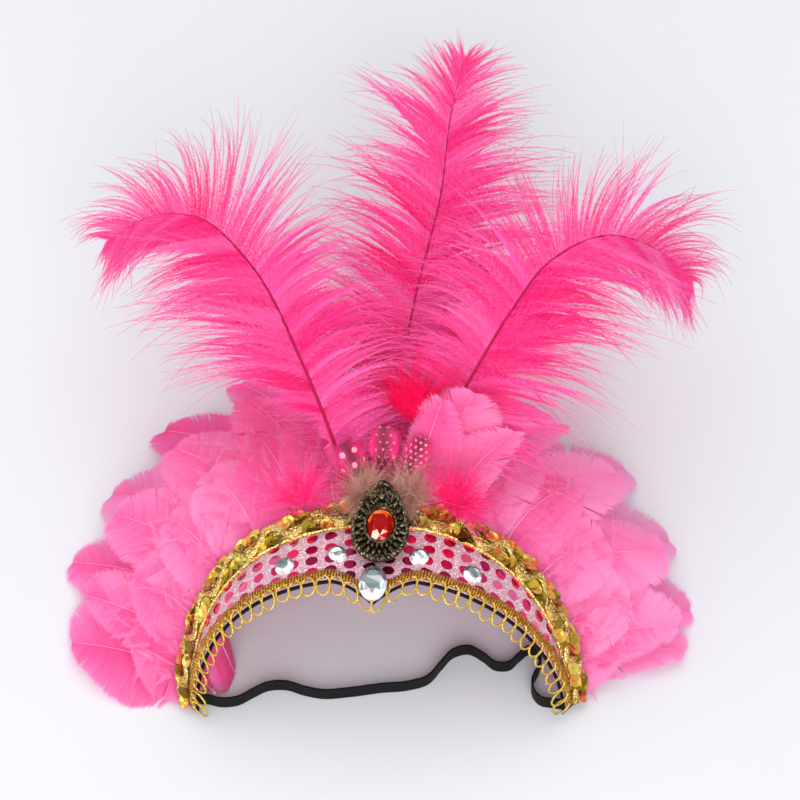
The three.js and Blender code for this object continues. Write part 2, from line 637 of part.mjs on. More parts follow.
const GUINEA = { length: 24, width: 11, thickness: 1.2, droop: -3 };
const GUINEA_FEATHERS = [ // name, root, direction
  { name: "guinea_left", root: [-6, 71, 82], along: [-0.55, 0.9, 0.45] },
  { name: "guinea_centre", root: [0.5, 75, 85], along: [0.05, 0.95, 0.4] },
  { name: "guinea_right", root: [9, 73, 83], along: [0.5, 0.85, 0.4] },
];
for (const { name, root, along } of GUINEA_FEATHERS) {
  const direction = new THREE.Vector3(...along).normalize();
  const wide = new THREE.Vector3().crossVectors(direction, UP).normalize();
  piece(name, lock(new THREE.Vector3(...root), direction, wide, GUINEA), "guinea");
}

// Rests the part on its lowest points, with its origin at the middle of its base, the loose strap left out.
function settle() {
  const box = new THREE.Box3();
  for (const child of object.children) {
    if (child.name !== "elastic_strap") box.expandByObject(child, true);
  }
  const middle = box.getCenter(new THREE.Vector3());
  object.children.forEach((child) => child.position.sub(new THREE.Vector3(middle.x, middle.y, box.min.z)));
}

object.updateMatrixWorld(true);
settle();

export default object;
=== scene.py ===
"""Dresses a feather headband that lies on its back: band, braids, stones, brooch, strap and feathers."""

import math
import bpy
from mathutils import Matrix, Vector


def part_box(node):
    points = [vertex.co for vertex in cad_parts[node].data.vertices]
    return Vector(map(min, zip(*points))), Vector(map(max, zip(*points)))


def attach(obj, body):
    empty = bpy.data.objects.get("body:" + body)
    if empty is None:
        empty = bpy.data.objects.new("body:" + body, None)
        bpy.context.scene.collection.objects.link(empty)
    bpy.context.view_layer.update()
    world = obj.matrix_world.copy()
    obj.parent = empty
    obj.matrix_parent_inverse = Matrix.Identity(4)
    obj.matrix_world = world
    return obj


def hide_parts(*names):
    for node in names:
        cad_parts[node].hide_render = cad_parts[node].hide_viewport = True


bl_info = {
    "name": "Feather headband",
    "version": (1, 0, 0),
    "blender": (4, 5, 0),
    "location": "3D View > Sidebar > Headband",
    "description": "Builds a stage headband with plumes, goose feathers, sequins, braid, stones and a strap",
    "category": "Add Mesh",
}

import bmesh
import bpy
import numpy as np
from mathutils import Matrix, Vector

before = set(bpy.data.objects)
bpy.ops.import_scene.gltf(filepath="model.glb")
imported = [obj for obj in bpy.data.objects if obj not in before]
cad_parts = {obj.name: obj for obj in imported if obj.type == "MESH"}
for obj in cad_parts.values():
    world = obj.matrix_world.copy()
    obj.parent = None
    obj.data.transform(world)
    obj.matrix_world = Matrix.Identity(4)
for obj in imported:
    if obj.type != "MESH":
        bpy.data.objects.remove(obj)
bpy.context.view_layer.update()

MM = 0.001
UP = np.array((0.0, 0.0, 1.0))

# The band is laid out in millimetres from the middle of the line between its ends, on the floor.
# The backing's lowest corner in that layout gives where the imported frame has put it.
BACKING_CORNER = np.array((-90.599, -0.695, 0.0))
ORIGIN = np.array(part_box("band_backing")[0]) / MM - BACKING_CORNER


def to_row(points):
    """Layout millimetres to metres in the row frame."""
    return (np.asarray(points, dtype=float) + ORIGIN) * MM


def unit(vectors):
    return vectors / np.maximum(np.linalg.norm(vectors, axis=-1, keepdims=True), 1e-9)


SEEDS = {  # the first seed of each kind of piece
    "dots": 7, "sequins": 19, "loops": 5, "gem": 12, "stones": 30, "goose": 100, "coverts": 200, "inner": 250,
    "fluff": 270, "guinea": 300, "tufts": 400, "plumes": 501,
}


def draws(kind, number=0):
    """Random draws for one piece of a kind, the same on each run."""
    return np.random.default_rng(SEEDS[kind] + number)


# The band's surface: u from the left end to the right, v from the front edge to the back edge.

FRONT_EDGE = {"half_width": 84.0, "rise": 86.0, "lean": 13.0, "end_y": 0.0, "powers": (2.4, 1.9)}
BACK_EDGE = {"half_width": 90.0, "rise": 92.0, "lean": 40.0, "end_y": 6.0, "powers": (2.35, 2.15)}
PEAK_DEPTH, PEAK_HALF_SHARE = 17.5, 0.075
FACING_FACE, TRIM_FOOT = 2.5, 3.2  # heights over the middle of the band's wall
BAND_LENGTH = 262.0


def edge_line(half_width, rise, lean, end_y, powers):
    """Arc shares and points of one edge of the band."""
    turns = np.radians(np.linspace(-90, 90, 1441))
    power = np.where(turns < 0, 2 / powers[0], 2 / powers[1])
    x = np.sign(turns) * half_width * np.abs(np.sin(turns)) ** power
    up = rise * np.maximum(np.cos(turns), 0) ** power
    lean = math.radians(lean)
    points = np.stack((x, end_y + up * math.sin(lean), up * math.cos(lean)), axis=-1)
    steps = np.linalg.norm(np.diff(points, axis=0), axis=1)
    shares = np.concatenate(((0,), np.cumsum(steps))) / steps.sum()
    return shares, points


FRONT_LINE = edge_line(**FRONT_EDGE)
BACK_LINE = edge_line(**BACK_EDGE)


def on_line(line, at):
    """Points of a line, given as shares or lengths and points."""
    return np.stack([np.interp(at, line[0], line[1][:, k]) for k in range(3)], axis=-1)


def band_middle(u, v):
    """Points of the middle of the band's wall."""
    u, v = np.broadcast_arrays(np.asarray(u, float), np.asarray(v, float))
    front, back = on_line(FRONT_LINE, u), on_line(BACK_LINE, u)
    reach = np.maximum(0, 1 - np.abs(u - 0.5) / PEAK_HALF_SHARE)[..., None]
    front = front + unit(front - back) * PEAK_DEPTH * reach**1.5
    return front + (back - front) * v[..., None]


def band_axes(u, v):
    """Directions along the band, across it to the back edge, and out of its face."""
    u, v = np.broadcast_arrays(np.asarray(u, float), np.asarray(v, float))
    step = 0.004
    along = unit(band_middle(np.minimum(u + step, 1), v) - band_middle(np.maximum(u - step, 0), v))
    across = unit(band_middle(u, np.ones_like(v)) - band_middle(u, np.zeros_like(v)))
    return along, across, unit(np.cross(along, across))


def band_point(u, v, height):
    """Points at a height over the middle of the band's wall."""
    return band_middle(u, v) + band_axes(u, v)[2] * np.asarray(height, float)[..., None]


def band_width(u):
    u = np.asarray(u, float)
    return np.linalg.norm(band_middle(u, np.ones_like(u)) - band_middle(u, np.zeros_like(u)), axis=-1)


def from_front(u, distance):
    """The v that is a distance in from the front edge."""
    return distance / band_width(u)


def from_back(u, distance):
    """The v that is a distance in from the back edge."""
    return 1 - distance / band_width(u)


def band_matrix(u, v, height, tilt):
    """Places a piece made with +Y out of the face and -Z to the back edge, in row metres."""
    along, across, out = (Vector(axis) for axis in band_axes(u, v))
    place = Matrix((along, out, -across)).transposed().to_4x4()
    place.translation = Vector(to_row(band_point(u, v, height)))
    return place @ Matrix.Rotation(math.radians(tilt), 4, "X") @ Matrix.Scale(MM, 4)


# Lines and joined meshes made from arrays.

ROD_SIDE = np.array((0.13, 0.21, 0.97))  # a direction that no rod follows
FLOOR_GAP = 0.05  # no joined mesh comes nearer to the floor, in mm


def arc_lengths(points):
    """How far along a line each of its points lies."""
    return np.concatenate(((0,), np.cumsum(np.linalg.norm(np.diff(points, axis=0), axis=1))))


def smooth_line(points, count):
    """A smooth line through points, with count places an equal way apart."""
    points = np.asarray(points, float)
    at = arc_lengths(points)
    slope = np.gradient(points, at, axis=0)
    fine = np.linspace(0, at[-1], count * 6)
    i = np.clip(np.searchsorted(at, fine) - 1, 0, len(at) - 2)
    span = (at[i + 1] - at[i])[:, None]
    w = (fine - at[i])[:, None] / span
    line = (
        (2 * w**3 - 3 * w**2 + 1) * points[i]
        + (w**3 - 2 * w**2 + w) * span * slope[i]
        + (3 * w**2 - 2 * w**3) * points[i + 1]
        + (w**3 - w**2) * span * slope[i + 1]
    )
    length = arc_lengths(line)
    return on_line((length, line), np.linspace(0, length[-1], count))


def spline(table, place):
    """Rows of a table read at places from 0 to 1, with smooth values between rows."""
    table = np.asarray(table, float)
    last = len(table) - 1
    p = np.clip(place, 0, 1) * last
    i = np.minimum(np.floor(p).astype(int), last - 1)
    w = (p - i)[..., None]
    rows = [table[np.clip(i + k, 0, last)] for k in (-1, 0, 1, 2)]
    return 0.5 * (
        2 * rows[1]
        + (rows[2] - rows[0]) * w
        + (2 * rows[0] - 5 * rows[1] + 4 * rows[2] - rows[3]) * w**2
        + (3 * rows[1] - rows[0] - 3 * rows[2] + rows[3]) * w**3
    )


def within(span, share):
    return span[0] + (span[1] - span[0]) * share


def circle(sides):
    """Angles of the corners round a circle."""
    return 2 * np.pi * np.arange(sides) / sides


def repeated(triangles, count, each):
    """One small shape's triangles again for each of count copies, which have each points apiece."""
    return (triangles[None] + (np.arange(count) * each)[:, None, None]).reshape(-1, 3)


def rods(lines, radii, sides=3, closed=False):
    """Thin rods along lines of shape (rods, places, 3): points and triangles."""
    lines = np.asarray(lines, float)
    count, places = lines.shape[:2]
    radii = np.broadcast_to(np.asarray(radii, float), (count, places))
    tangent = unit(np.gradient(lines, axis=1))
    side = unit(np.cross(tangent, ROD_SIDE))
    over = np.cross(side, tangent)
    turn = circle(sides)
    ring = (
        lines[:, :, None]
        + radii[:, :, None, None]
        * (np.cos(turn)[:, None] * side[:, :, None] + np.sin(turn)[:, None] * over[:, :, None])
    )
    steps = np.arange(places if closed else places - 1)
    a = (steps[:, None] * sides + np.arange(sides)).ravel()
    b = (steps[:, None] * sides + (np.arange(sides) + 1) % sides).ravel()
    c = (a + sides) % (places * sides)
    d = (b + sides) % (places * sides)
    one = np.concatenate((np.stack((a, c, b), 1), np.stack((b, c, d), 1)))
    if not closed:
        last = (places - 1) * sides
        caps = [(0, k, k + 1) for k in range(1, sides - 1)]
        caps += [(last, last + k + 1, last + k) for k in range(1, sides - 1)]
        one = np.concatenate((one, np.array(caps)))
    return ring.reshape(-1, 3), repeated(one, count, places * sides)


def slivers(roots, tips, half_bases):
    """One thin triangle from each root to each tip: points and triangles."""
    points = np.stack((roots - half_bases, roots + half_bases, tips), axis=-2).reshape(-1, 3)
    return points, np.arange(len(points)).reshape(-1, 3)


def ribbons(first, second):
    """Strips between two sets of lines of shape (strips, places, 3): points and triangles."""
    count, places = first.shape[:2]
    points = np.stack((first, second), axis=2).reshape(-1, 3)
    k = np.arange(places - 1) * 2
    one = np.concatenate((np.stack((k, k + 1, k + 2), 1), np.stack((k + 1, k + 3, k + 2), 1)))
    return points, repeated(one, count, places * 2)


def set_smooth(mesh, smooth):
    mesh.polygons.foreach_set("use_smooth", np.full(len(mesh.polygons), smooth))


def joined_mesh(name, parts, smooth=True):
    """One mesh of parts, each (points, triangles, tone for each point)."""
    points, triangles, tones, first = [], [], [], 0
    for part_points, part_triangles, tone in parts:
        points.append(part_points)
        triangles.append(part_triangles + first)
        tones.append(np.broadcast_to(np.asarray(tone, float), (len(part_points),)))
        first += len(part_points)
    points = np.concatenate(points)
    points[:, 2] = np.maximum(points[:, 2], FLOOR_GAP)
    mesh = bpy.data.meshes.new(name)
    mesh.from_pydata(to_row(points), [], np.concatenate(triangles))
    values = mesh.attributes.new("tone", "FLOAT", "POINT")
    values.data.foreach_set("value", np.concatenate(tones).astype(np.float32))
    set_smooth(mesh, smooth)
    mesh.update()
    return mesh


def bmesh_done(name, bm):
    """The finished mesh of a bmesh."""
    mesh = bpy.data.meshes.new(name)
    bm.to_mesh(mesh)
    bm.free()
    return mesh


def show(name, mesh, material, slot, stands_for=()):
    """Shows a mesh as a piece that rides on the root body in place of its CAD nodes."""
    piece = bpy.data.objects.new(name, mesh)
    bpy.context.scene.collection.objects.link(piece)
    mesh.materials.append(material)
    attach(piece, "root")
    if stands_for:
        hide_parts(*stands_for)
    return piece


def show_parts(name, parts, material, slot, stands_for=(), smooth=True):
    """Joins parts to one mesh and shows it as a piece."""
    return show(name, joined_mesh(name, parts, smooth), material, slot, stands_for)


# Materials.


def linear(colour):
    """Linear RGBA of an sRGB hex colour, or of a colour setting, which is linear already."""
    if not isinstance(colour, str):
        return list(colour)
    parts = [int(colour[k : k + 2], 16) / 255 for k in (1, 3, 5)]
    return [p / 12.92 if p <= 0.04045 else ((p + 0.055) / 1.055) ** 2.4 for p in parts] + [1.0]


def add_node(tree, kind, settings=None, links=None, stops=()):
    """Adds a shader node. Settings are its own properties or unlinked inputs, links are its inputs from
    sockets, and stops are the places and colours of its ramp."""
    made = tree.nodes.new(f"ShaderNode{kind}")
    for key, value in (settings or {}).items():
        if isinstance(key, str) and hasattr(made, key):
            setattr(made, key, value)
        else:
            made.inputs[key].default_value = value
    for key, socket in (links or {}).items():
        tree.links.new(socket, made.inputs[key])
    if stops:
        elements = made.color_ramp.elements
        while len(elements) < len(stops):
            elements.new(1.0)
        for element, (place, colour) in zip(elements, stops):
            element.position = place
            element.color = linear(colour)
    return made


def start_material(name):
    material = bpy.data.materials.new(name)
    material.use_nodes = True
    material.node_tree.nodes.clear()
    return material, material.node_tree


def toned_material(name, attribute, stops, settings):
    """A surface coloured along stops by an attribute of the piece's own mesh."""
    material, tree = start_material(name)
    tone = add_node(tree, "Attribute", {"attribute_name": attribute})
    colour = add_node(tree, "ValToRGB", links={"Fac": tone.outputs["Fac"]}, stops=stops)
    surface = add_node(tree, "BsdfPrincipled", settings, {"Base Color": colour.outputs["Color"]})
    add_node(tree, "OutputMaterial", links={"Surface": surface.outputs[0]})
    return material


# Dyed feather: fine keratin barbs that scatter light and let some through, with a soft sheen.
def feather_material(name, stops, through):
    material, tree = start_material(name)
    tone = add_node(tree, "Attribute", {"attribute_name": "tone"})
    dye = add_node(tree, "ValToRGB", links={"Fac": tone.outputs["Fac"]}, stops=stops)
    barbs = add_node(
        tree, "BsdfPrincipled",
        {"Roughness": 0.6, "Sheen Weight": 0.05, "Sheen Roughness": 0.5, "Specular IOR Level": 0.12},
        {"Base Color": dye.outputs["Color"]},
    )
    glow = add_node(tree, "BsdfTranslucent", links={"Color": dye.outputs["Color"]})
    mix = add_node(tree, "MixShader", {0: through}, {1: barbs.outputs[0], 2: glow.outputs[0]})
    add_node(tree, "OutputMaterial", links={"Surface": mix.outputs[0]})
    return material


# Guinea fowl feather dyed over: dark barbs, brighter at the edge, with rows of round pale spots.
def guinea_material(name, dark, edge, pale):
    stops = [(0.0, dark), (0.42, edge), (0.7, edge), (0.8, pale)]
    return toned_material(name, "tone", stops, {"Roughness": 0.7})


# Metallised plastic film on sequins and foil dots: a mirror tinted by its lacquer, each one at its own angle.
def foil_material(name, stops, roughness):
    return toned_material(name, "tone", stops, {"Metallic": 0.85, "Roughness": roughness})


# Foil-backed acrylic: polished facets that throw back the room, with painted reflections as well: each
# facet's colour is set by which way it faces.
def acrylic_material(name, stops, metallic, gloss=0.5):
    polish = {"Metallic": metallic, "Roughness": 0.08, "IOR": 1.49, "Specular IOR Level": gloss}
    return toned_material(name, "painted_reflection", stops, polish)


# Metallic braid: gold film wound round thread, so it glints in grains of about a third to half a millimetre.
def gimp_material(name, stops, grain):
    material, tree = start_material(name)
    where = add_node(tree, "TexCoord")
    cells = add_node(tree, "TexVoronoi", {"Scale": 1 / (grain * MM)}, {"Vector": where.outputs["Object"]})
    shade = add_node(tree, "SeparateColor", links={0: cells.outputs["Color"]})
    colour = add_node(tree, "ValToRGB", links={"Fac": shade.outputs[0]}, stops=stops)
    bump = add_node(
        tree, "Bump", {"Strength": 0.7, "Distance": 0.2 * MM}, {"Height": cells.outputs["Distance"]}
    )
    surface = add_node(
        tree, "BsdfPrincipled", {"Metallic": 0.8, "Roughness": 0.34},
        {"Base Color": colour.outputs["Color"], "Normal": bump.outputs[0]},
    )
    add_node(tree, "OutputMaterial", links={"Surface": surface.outputs[0]})
    return material


# Woven glitter cloth: matt pink threads with small bright flakes of film, about half a millimetre wide.
def glitter_cloth_material(name, base, dark, flake):
    material, tree = start_material(name)
    where = add_node(tree, "TexCoord")
    flakes = add_node(tree, "TexVoronoi", {"Scale": 1 / (0.55 * MM)}, {"Vector": where.outputs["Object"]})
    pick = add_node(tree, "SeparateColor", links={0: flakes.outputs["Color"]})
    colour = add_node(
        tree, "ValToRGB", links={"Fac": pick.outputs[0]},
        stops=[(0.0, dark), (0.35, base), (0.78, base), (1.0, flake)],
    )
    shine = add_node(
        tree, "MapRange", {"From Min": 0.7, "From Max": 0.95, "To Min": 0.75, "To Max": 0.3},
        {"Value": pick.outputs[0]},
    )
    bump = add_node(
        tree, "Bump", {"Strength": 0.5, "Distance": 0.15 * MM}, {"Height": flakes.outputs["Distance"]}
    )
    surface = add_node(
        tree, "BsdfPrincipled", {},
        {"Base Color": colour.outputs["Color"], "Roughness": shine.outputs[0], "Normal": bump.outputs[0]},
    )
    add_node(tree, "OutputMaterial", links={"Surface": surface.outputs[0]})
    return material


# Black buckram and woven elastic: matt thread whose ribs run across the strip.
def ribbed_cloth_material(name, light, dark, rib):
    material, tree = start_material(name)
    where = add_node(tree, "UVMap", {"uv_map": "weave"})
    wave = add_node(
        tree, "TexWave",
        {"wave_type": "BANDS", "bands_direction": "X", "Scale": 2 * math.pi / (20 * rib), "Distortion": 0.6},
        {"Vector": where.outputs[0]},
    )
    colour = add_node(tree, "ValToRGB", links={"Fac": wave.outputs["Fac"]}, stops=[(0.0, dark), (1.0, light)])
    bump = add_node(tree, "Bump", {"Strength": 0.6, "Distance": 0.2 * MM}, {"Height": wave.outputs["Fac"]})
    surface = add_node(
        tree, "BsdfPrincipled", {"Roughness": 0.85, "Sheen Weight": 0.03, "Specular IOR Level": 0.2},
        {"Base Color": colour.outputs["Color"], "Normal": bump.outputs[0]},
    )
    add_node(tree, "OutputMaterial", links={"Surface": surface.outputs[0]})
    return material


# Cast brass, chemically darkened and rubbed back, which leaves it brown in the hollows and yellow on the high
# spots; here brown and yellow lie in small random patches, rougher where it is brown.
def antique_brass_material(name, stops):
    material, tree = start_material(name)
    where = add_node(tree, "TexCoord")
    noise = add_node(
        tree, "TexNoise", {"Scale": 1 / (1.6 * MM), "Detail": 4.0}, {"Vector": where.outputs["Object"]}
    )
    colour = add_node(tree, "ValToRGB", links={"Fac": noise.outputs["Fac"]}, stops=stops)
    rough = add_node(
        tree, "MapRange", {"From Min": 0.35, "From Max": 0.65, "To Min": 0.5, "To Max": 0.28},
        {"Value": noise.outputs["Fac"]},
    )
    surface = add_node(
        tree, "BsdfPrincipled", {"Metallic": 1.0},
        {"Base Color": colour.outputs["Color"], "Roughness": rough.outputs[0]},
    )
    add_node(tree, "OutputMaterial", links={"Surface": surface.outputs[0]})
    return material


# Painted board: a plain floor, matt and even.
def floor_material(name, colour):
    material, tree = start_material(name)
    surface = add_node(tree, "BsdfPrincipled", {"Base Color": linear(colour), "Roughness": 0.9})
    add_node(tree, "OutputMaterial", links={"Surface": surface.outputs[0]})
    return material


# Settings.


def colour_setting(name, description, default):
    return bpy.props.FloatVectorProperty(
        name=name, description=description, default=linear(default), size=4, subtype="COLOR", min=0.0, max=1.0
    )


def size_setting(name, description, default):
    return bpy.props.FloatProperty(name=name, description=description, default=default, min=0.0)


def count_setting(name, description, default):
    return bpy.props.IntProperty(name=name, description=description, default=default)


class HeadbandBand(bpy.types.PropertyGroup):
    """Sizes and colours of the band and what is set on it, in millimetres."""

    dot_size: size_setting("Dot size", "Width of a foil dot, mm", 5.9)
    dot_pitch: size_setting("Dot pitch", "From one foil dot to the next, mm", 8.3)
    loops: count_setting("Loops", "Loops along the front braid", 40)
    loop_reach: size_setting("Loop reach", "How far the loops stand out of the braid, mm", 8.6)
    loop_fall: size_setting("Loop fall", "How far the loops hang down, mm", 3.6)
    sequin_size: size_setting("Sequin size", "Width of a cup sequin, mm", 6.4)
    braid_width: size_setting("Braid width", "Width of the sequin braid, mm", 16.0)
    strap_width: size_setting("Strap width", "Width of the elastic, mm", 8.0)
    cloth: colour_setting("Cloth", "Glitter cloth", "#CA99A8")
    gold: colour_setting("Gold", "Main gold of the braids", "#D2A02C")


class HeadbandFeathers(bpy.types.PropertyGroup):
    """Counts and colours of the feathers."""

    barbs: count_setting("Barbs", "Barbs on each side of a plume", 540)
    barbules: count_setting("Barbules", "Barbules on each side of a barb", 42)
    blade_barbs: count_setting("Blade barbs", "Barbs on each side of a blade", 124)
    plume: colour_setting("Plume", "Main pink of the plumes", "#FF66BA")
    goose: colour_setting("Goose", "Main pink of the goose feathers", "#FF9CD4")


class HeadbandStage(bpy.types.PropertyGroup):
    """The floor, light and camera."""

    distance: bpy.props.FloatProperty(
        name="Distance", description="From the camera to the part", default=2.6,
        unit="LENGTH", subtype="DISTANCE",
    )
    elevation: bpy.props.FloatProperty(
        name="Elevation", description="Camera's angle over the floor", default=math.radians(55),
        subtype="ANGLE",
    )
    lens: bpy.props.FloatProperty(name="Lens", description="Focal length, mm", default=249.7, unit="CAMERA")
    floor: colour_setting("Floor", "Floor colour", "#CFD0D5")


# Stage.

FLOOR_HALF = 6.0
SKY_COLOUR, SKY_STRENGTH = (0.96, 0.965, 0.985, 1.0), 0.64
LAMPS = [  # name, place and aim in metres, size, power
    ("overhead", (0.05, 0.35, 2.2), (0.0, 0.0, 0.0), 2.6, 25.0),
    ("front", (0.1, -2.3, 1.8), (0.0, 0.0, 0.05), 2.2, 66.0),
    ("left", (-2.0, 0.1, 1.2), (0.0, 0.0, 0.05), 1.4, 12.0),
]
CAMERA_TARGET = (9.0, 123.0, 80.0)
SENSOR_WIDTH, CLIP_END = 36.0, 20.0


def aimed(name, data, place, way):
    """Puts a light or camera in the scene so that it looks along a way."""
    made = bpy.data.objects.new(name, data)
    made.location = place
    made.rotation_euler = way.to_track_quat("-Z", "Y").to_euler()
    bpy.context.scene.collection.objects.link(made)
    return made


class HEADBAND_OT_stage(bpy.types.Operator):
    """Makes the floor, the soft lights and the camera"""

    bl_idname = "headband.stage"
    bl_label = "Stage"

    def execute(self, context):
        stage = context.scene.headband_stage
        scene = context.scene
        bm = bmesh.new()
        bmesh.ops.create_grid(bm, x_segments=1, y_segments=1, size=FLOOR_HALF)
        mesh = bmesh_done("floor", bm)
        floor = bpy.data.objects.new("floor", mesh)
        mesh.materials.append(floor_material("Painted floor", stage.floor))
        scene.collection.objects.link(floor)

        world = bpy.data.worlds.new("Soft studio")
        world.use_nodes = True
        background = world.node_tree.nodes["Background"]
        background.inputs["Color"].default_value = SKY_COLOUR
        background.inputs["Strength"].default_value = SKY_STRENGTH
        scene.world = world
        for name, place, aim, size, power in LAMPS:
            lamp = bpy.data.lights.new(name, "AREA")
            lamp.size = size
            lamp.energy = power
            aimed(name, lamp, place, Vector(aim) - Vector(place))

        camera = bpy.data.cameras.new("camera")
        camera.lens = stage.lens
        camera.sensor_width = SENSOR_WIDTH
        camera.clip_end = CLIP_END
        away = Vector((0.0, -math.cos(stage.elevation), math.sin(stage.elevation)))
        place = Vector(to_row(CAMERA_TARGET)) + away * stage.distance
        scene.camera = aimed("camera", camera, place, -away)
        scene.view_settings.view_transform = "Standard"
        return {"FINISHED"}


# Strap.

STRAP_ROUTE = [  # x, y on the surface
    (-81.5, 5.2), (-75, 3.6), (-67, 4.4), (-60, 8.5), (-53, 12.3), (-44, 12.8), (-36, 10), (-28, 8.2),
    (-14, 9.2), (0, 11.4), (13, 12.8), (22, 16), (28, 23.5), (34, 30.6), (41, 32.6), (48, 28.6),
    (54, 23.6), (60, 23.6), (65, 28.6), (70, 32.4), (74.5, 29.5), (74, 22), (71, 14.5), (71.8, 8), (75, 4.2),
    (79.5, 3.2),
]
STRAP_ENDS = (-87.6, 4.3), (85.6, 2.2)  # in the band's wall, where the strap is sewn in
STRAP_SECTION = [  # across and up, in halves of its thickness and width
    (-1, -0.94), (-0.4, -1), (0.4, -1), (1, -0.94), (1, 0.94), (0.4, 1), (-0.4, 1), (-1, 0.94),
]
STRAP_HALF_THICKNESS, STRAP_FLOOR_GAP, STRAP_PLACES = 0.5, 0.4, 260


class HEADBAND_OT_strap(bpy.types.Operator):
    """Makes the loose elastic strap, on edge on the floor"""

    bl_idname = "headband.strap"
    bl_label = "Elastic strap"

    def execute(self, context):
        band = context.scene.headband_band
        half = band.strap_width / 2
        height = half + STRAP_FLOOR_GAP
        route = [STRAP_ENDS[0], *STRAP_ROUTE, STRAP_ENDS[1]]
        line = smooth_line([(x, y, height) for x, y in route], STRAP_PLACES)
        side = unit(np.cross(unit(np.gradient(line, axis=0)), UP)) * STRAP_HALF_THICKNESS
        rings = np.stack([line + side * a + UP * half * b for a, b in STRAP_SECTION], axis=1)
        around = len(STRAP_SECTION)
        k = np.arange(STRAP_PLACES - 1)[:, None] * around
        j = np.arange(around)
        a, b = k + j, k + (j + 1) % around
        quads = np.stack((a, a + around, b + around, b), axis=-1).reshape(-1, 4)
        last = (STRAP_PLACES - 1) * around
        faces = quads.tolist() + [list(range(around)), [last + i for i in reversed(range(around))]]
        mesh = bpy.data.meshes.new("strap_weave")
        mesh.from_pydata(to_row(rings.reshape(-1, 3)), [], faces)
        length = arc_lengths(line)
        weave = mesh.uv_layers.new(name="weave")
        for loop in mesh.loops:
            ring, corner = divmod(loop.vertex_index, around)
            weave.data[loop.index].uv = (length[ring], STRAP_SECTION[corner][1] * half)
        mesh.update()
        elastic = ribbed_cloth_material("Woven elastic", "#100D10", "#040304", 0.9)
        strap = show("strap_weave", mesh, elastic, "black_elastic", ["elastic_strap"])
        path = [tuple(point) for point in to_row(line[::3].tolist() + [line[-1].tolist()])]
        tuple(path[0])
        return {"FINISHED"}


# Band.

BACKING_FACE, BACKING_THICKNESS, FACING_THICKNESS, FACING_INSET = 1.0, 1.3, 0.9, 0.6
BACKING_GRID, FACING_GRID = (150, 14), (150, 16)  # faces along and across
FACING_SPAN, FACING_FLAT = (0.012, 0.988), (0.19, 0.125)
DOT_SIDES, DOT_DISH, DOT_LIFT = 16, 0.06, 0.12
DOT_EDGES, DOT_ROW_SHARE = (7.0, 9.5), 0.93  # clear of the front and back edge, and rows to columns


def band_sheet(name, span, height, thickness, segments, inset):
    """A sheet that follows the band, with its arc and width in millimetres as its UV map."""
    along, across = segments
    bm = bmesh.new()
    bmesh.ops.create_grid(bm, x_segments=along, y_segments=across, size=0.5)
    uv_layer = bm.loops.layers.uv.new("weave")
    grid = np.array([vert.co[:2] for vert in bm.verts]) + 0.5
    u = within(span, grid[:, 0])
    low, high = from_front(u, inset), from_back(u, inset)
    points = to_row(band_point(u, low + (high - low) * grid[:, 1], height))
    flat = np.stack((u * BAND_LENGTH, grid[:, 1] * band_width(u)), axis=-1)
    bm.verts.ensure_lookup_table()
    for vert, point in zip(bm.verts, points):
        vert.co = point
    for face in bm.faces:
        for loop in face.loops:
            loop[uv_layer].uv = flat[loop.vert.index]
    bmesh.ops.solidify(bm, geom=bm.faces[:], thickness=thickness * MM)
    bmesh.ops.recalc_face_normals(bm, faces=bm.faces[:])
    mesh = bmesh_done(name, bm)
    set_smooth(mesh, True)
    return mesh


def discs(centres, axes, radius, sides, dish, hole=0.0):
    """Small round plates with a raised or sunk middle, facing out along the third of their axes."""
    first, second, out = axes
    turn = circle(sides)
    spokes = np.cos(turn)[:, None] * first[:, None] + np.sin(turn)[:, None] * second[:, None]
    rings = [(1.0, 0.0), (0.55, dish)] + ([(hole, dish * 1.05)] if hole else [])
    circles = [centres[:, None] + radius * share * spokes + (lift * out)[:, None] for share, lift in rings]
    points = np.concatenate(circles, axis=1)
    count, each = points.shape[:2]
    j = np.arange(sides)
    one = []
    for r in range(len(rings) - 1):
        a, b = r * sides + j, r * sides + (j + 1) % sides
        one += [np.stack((a, b, b + sides), 1), np.stack((a, b + sides, a + sides), 1)]
    if not hole:
        inner = (len(rings) - 1) * sides
        one.append(np.array([(inner, inner + k, inner + k + 1) for k in range(1, sides - 1)]))
    return points.reshape(-1, 3), repeated(np.concatenate(one), count, each), each


def tilted(axes, lean_first, lean_second):
    """Axes of small plates leant by two small slopes."""
    first, second, out = axes
    out = unit(out + first * lean_first[:, None] + second * lean_second[:, None])
    first = unit(first - out * np.sum(first * out, axis=-1, keepdims=True))
    return first, np.cross(out, first), out


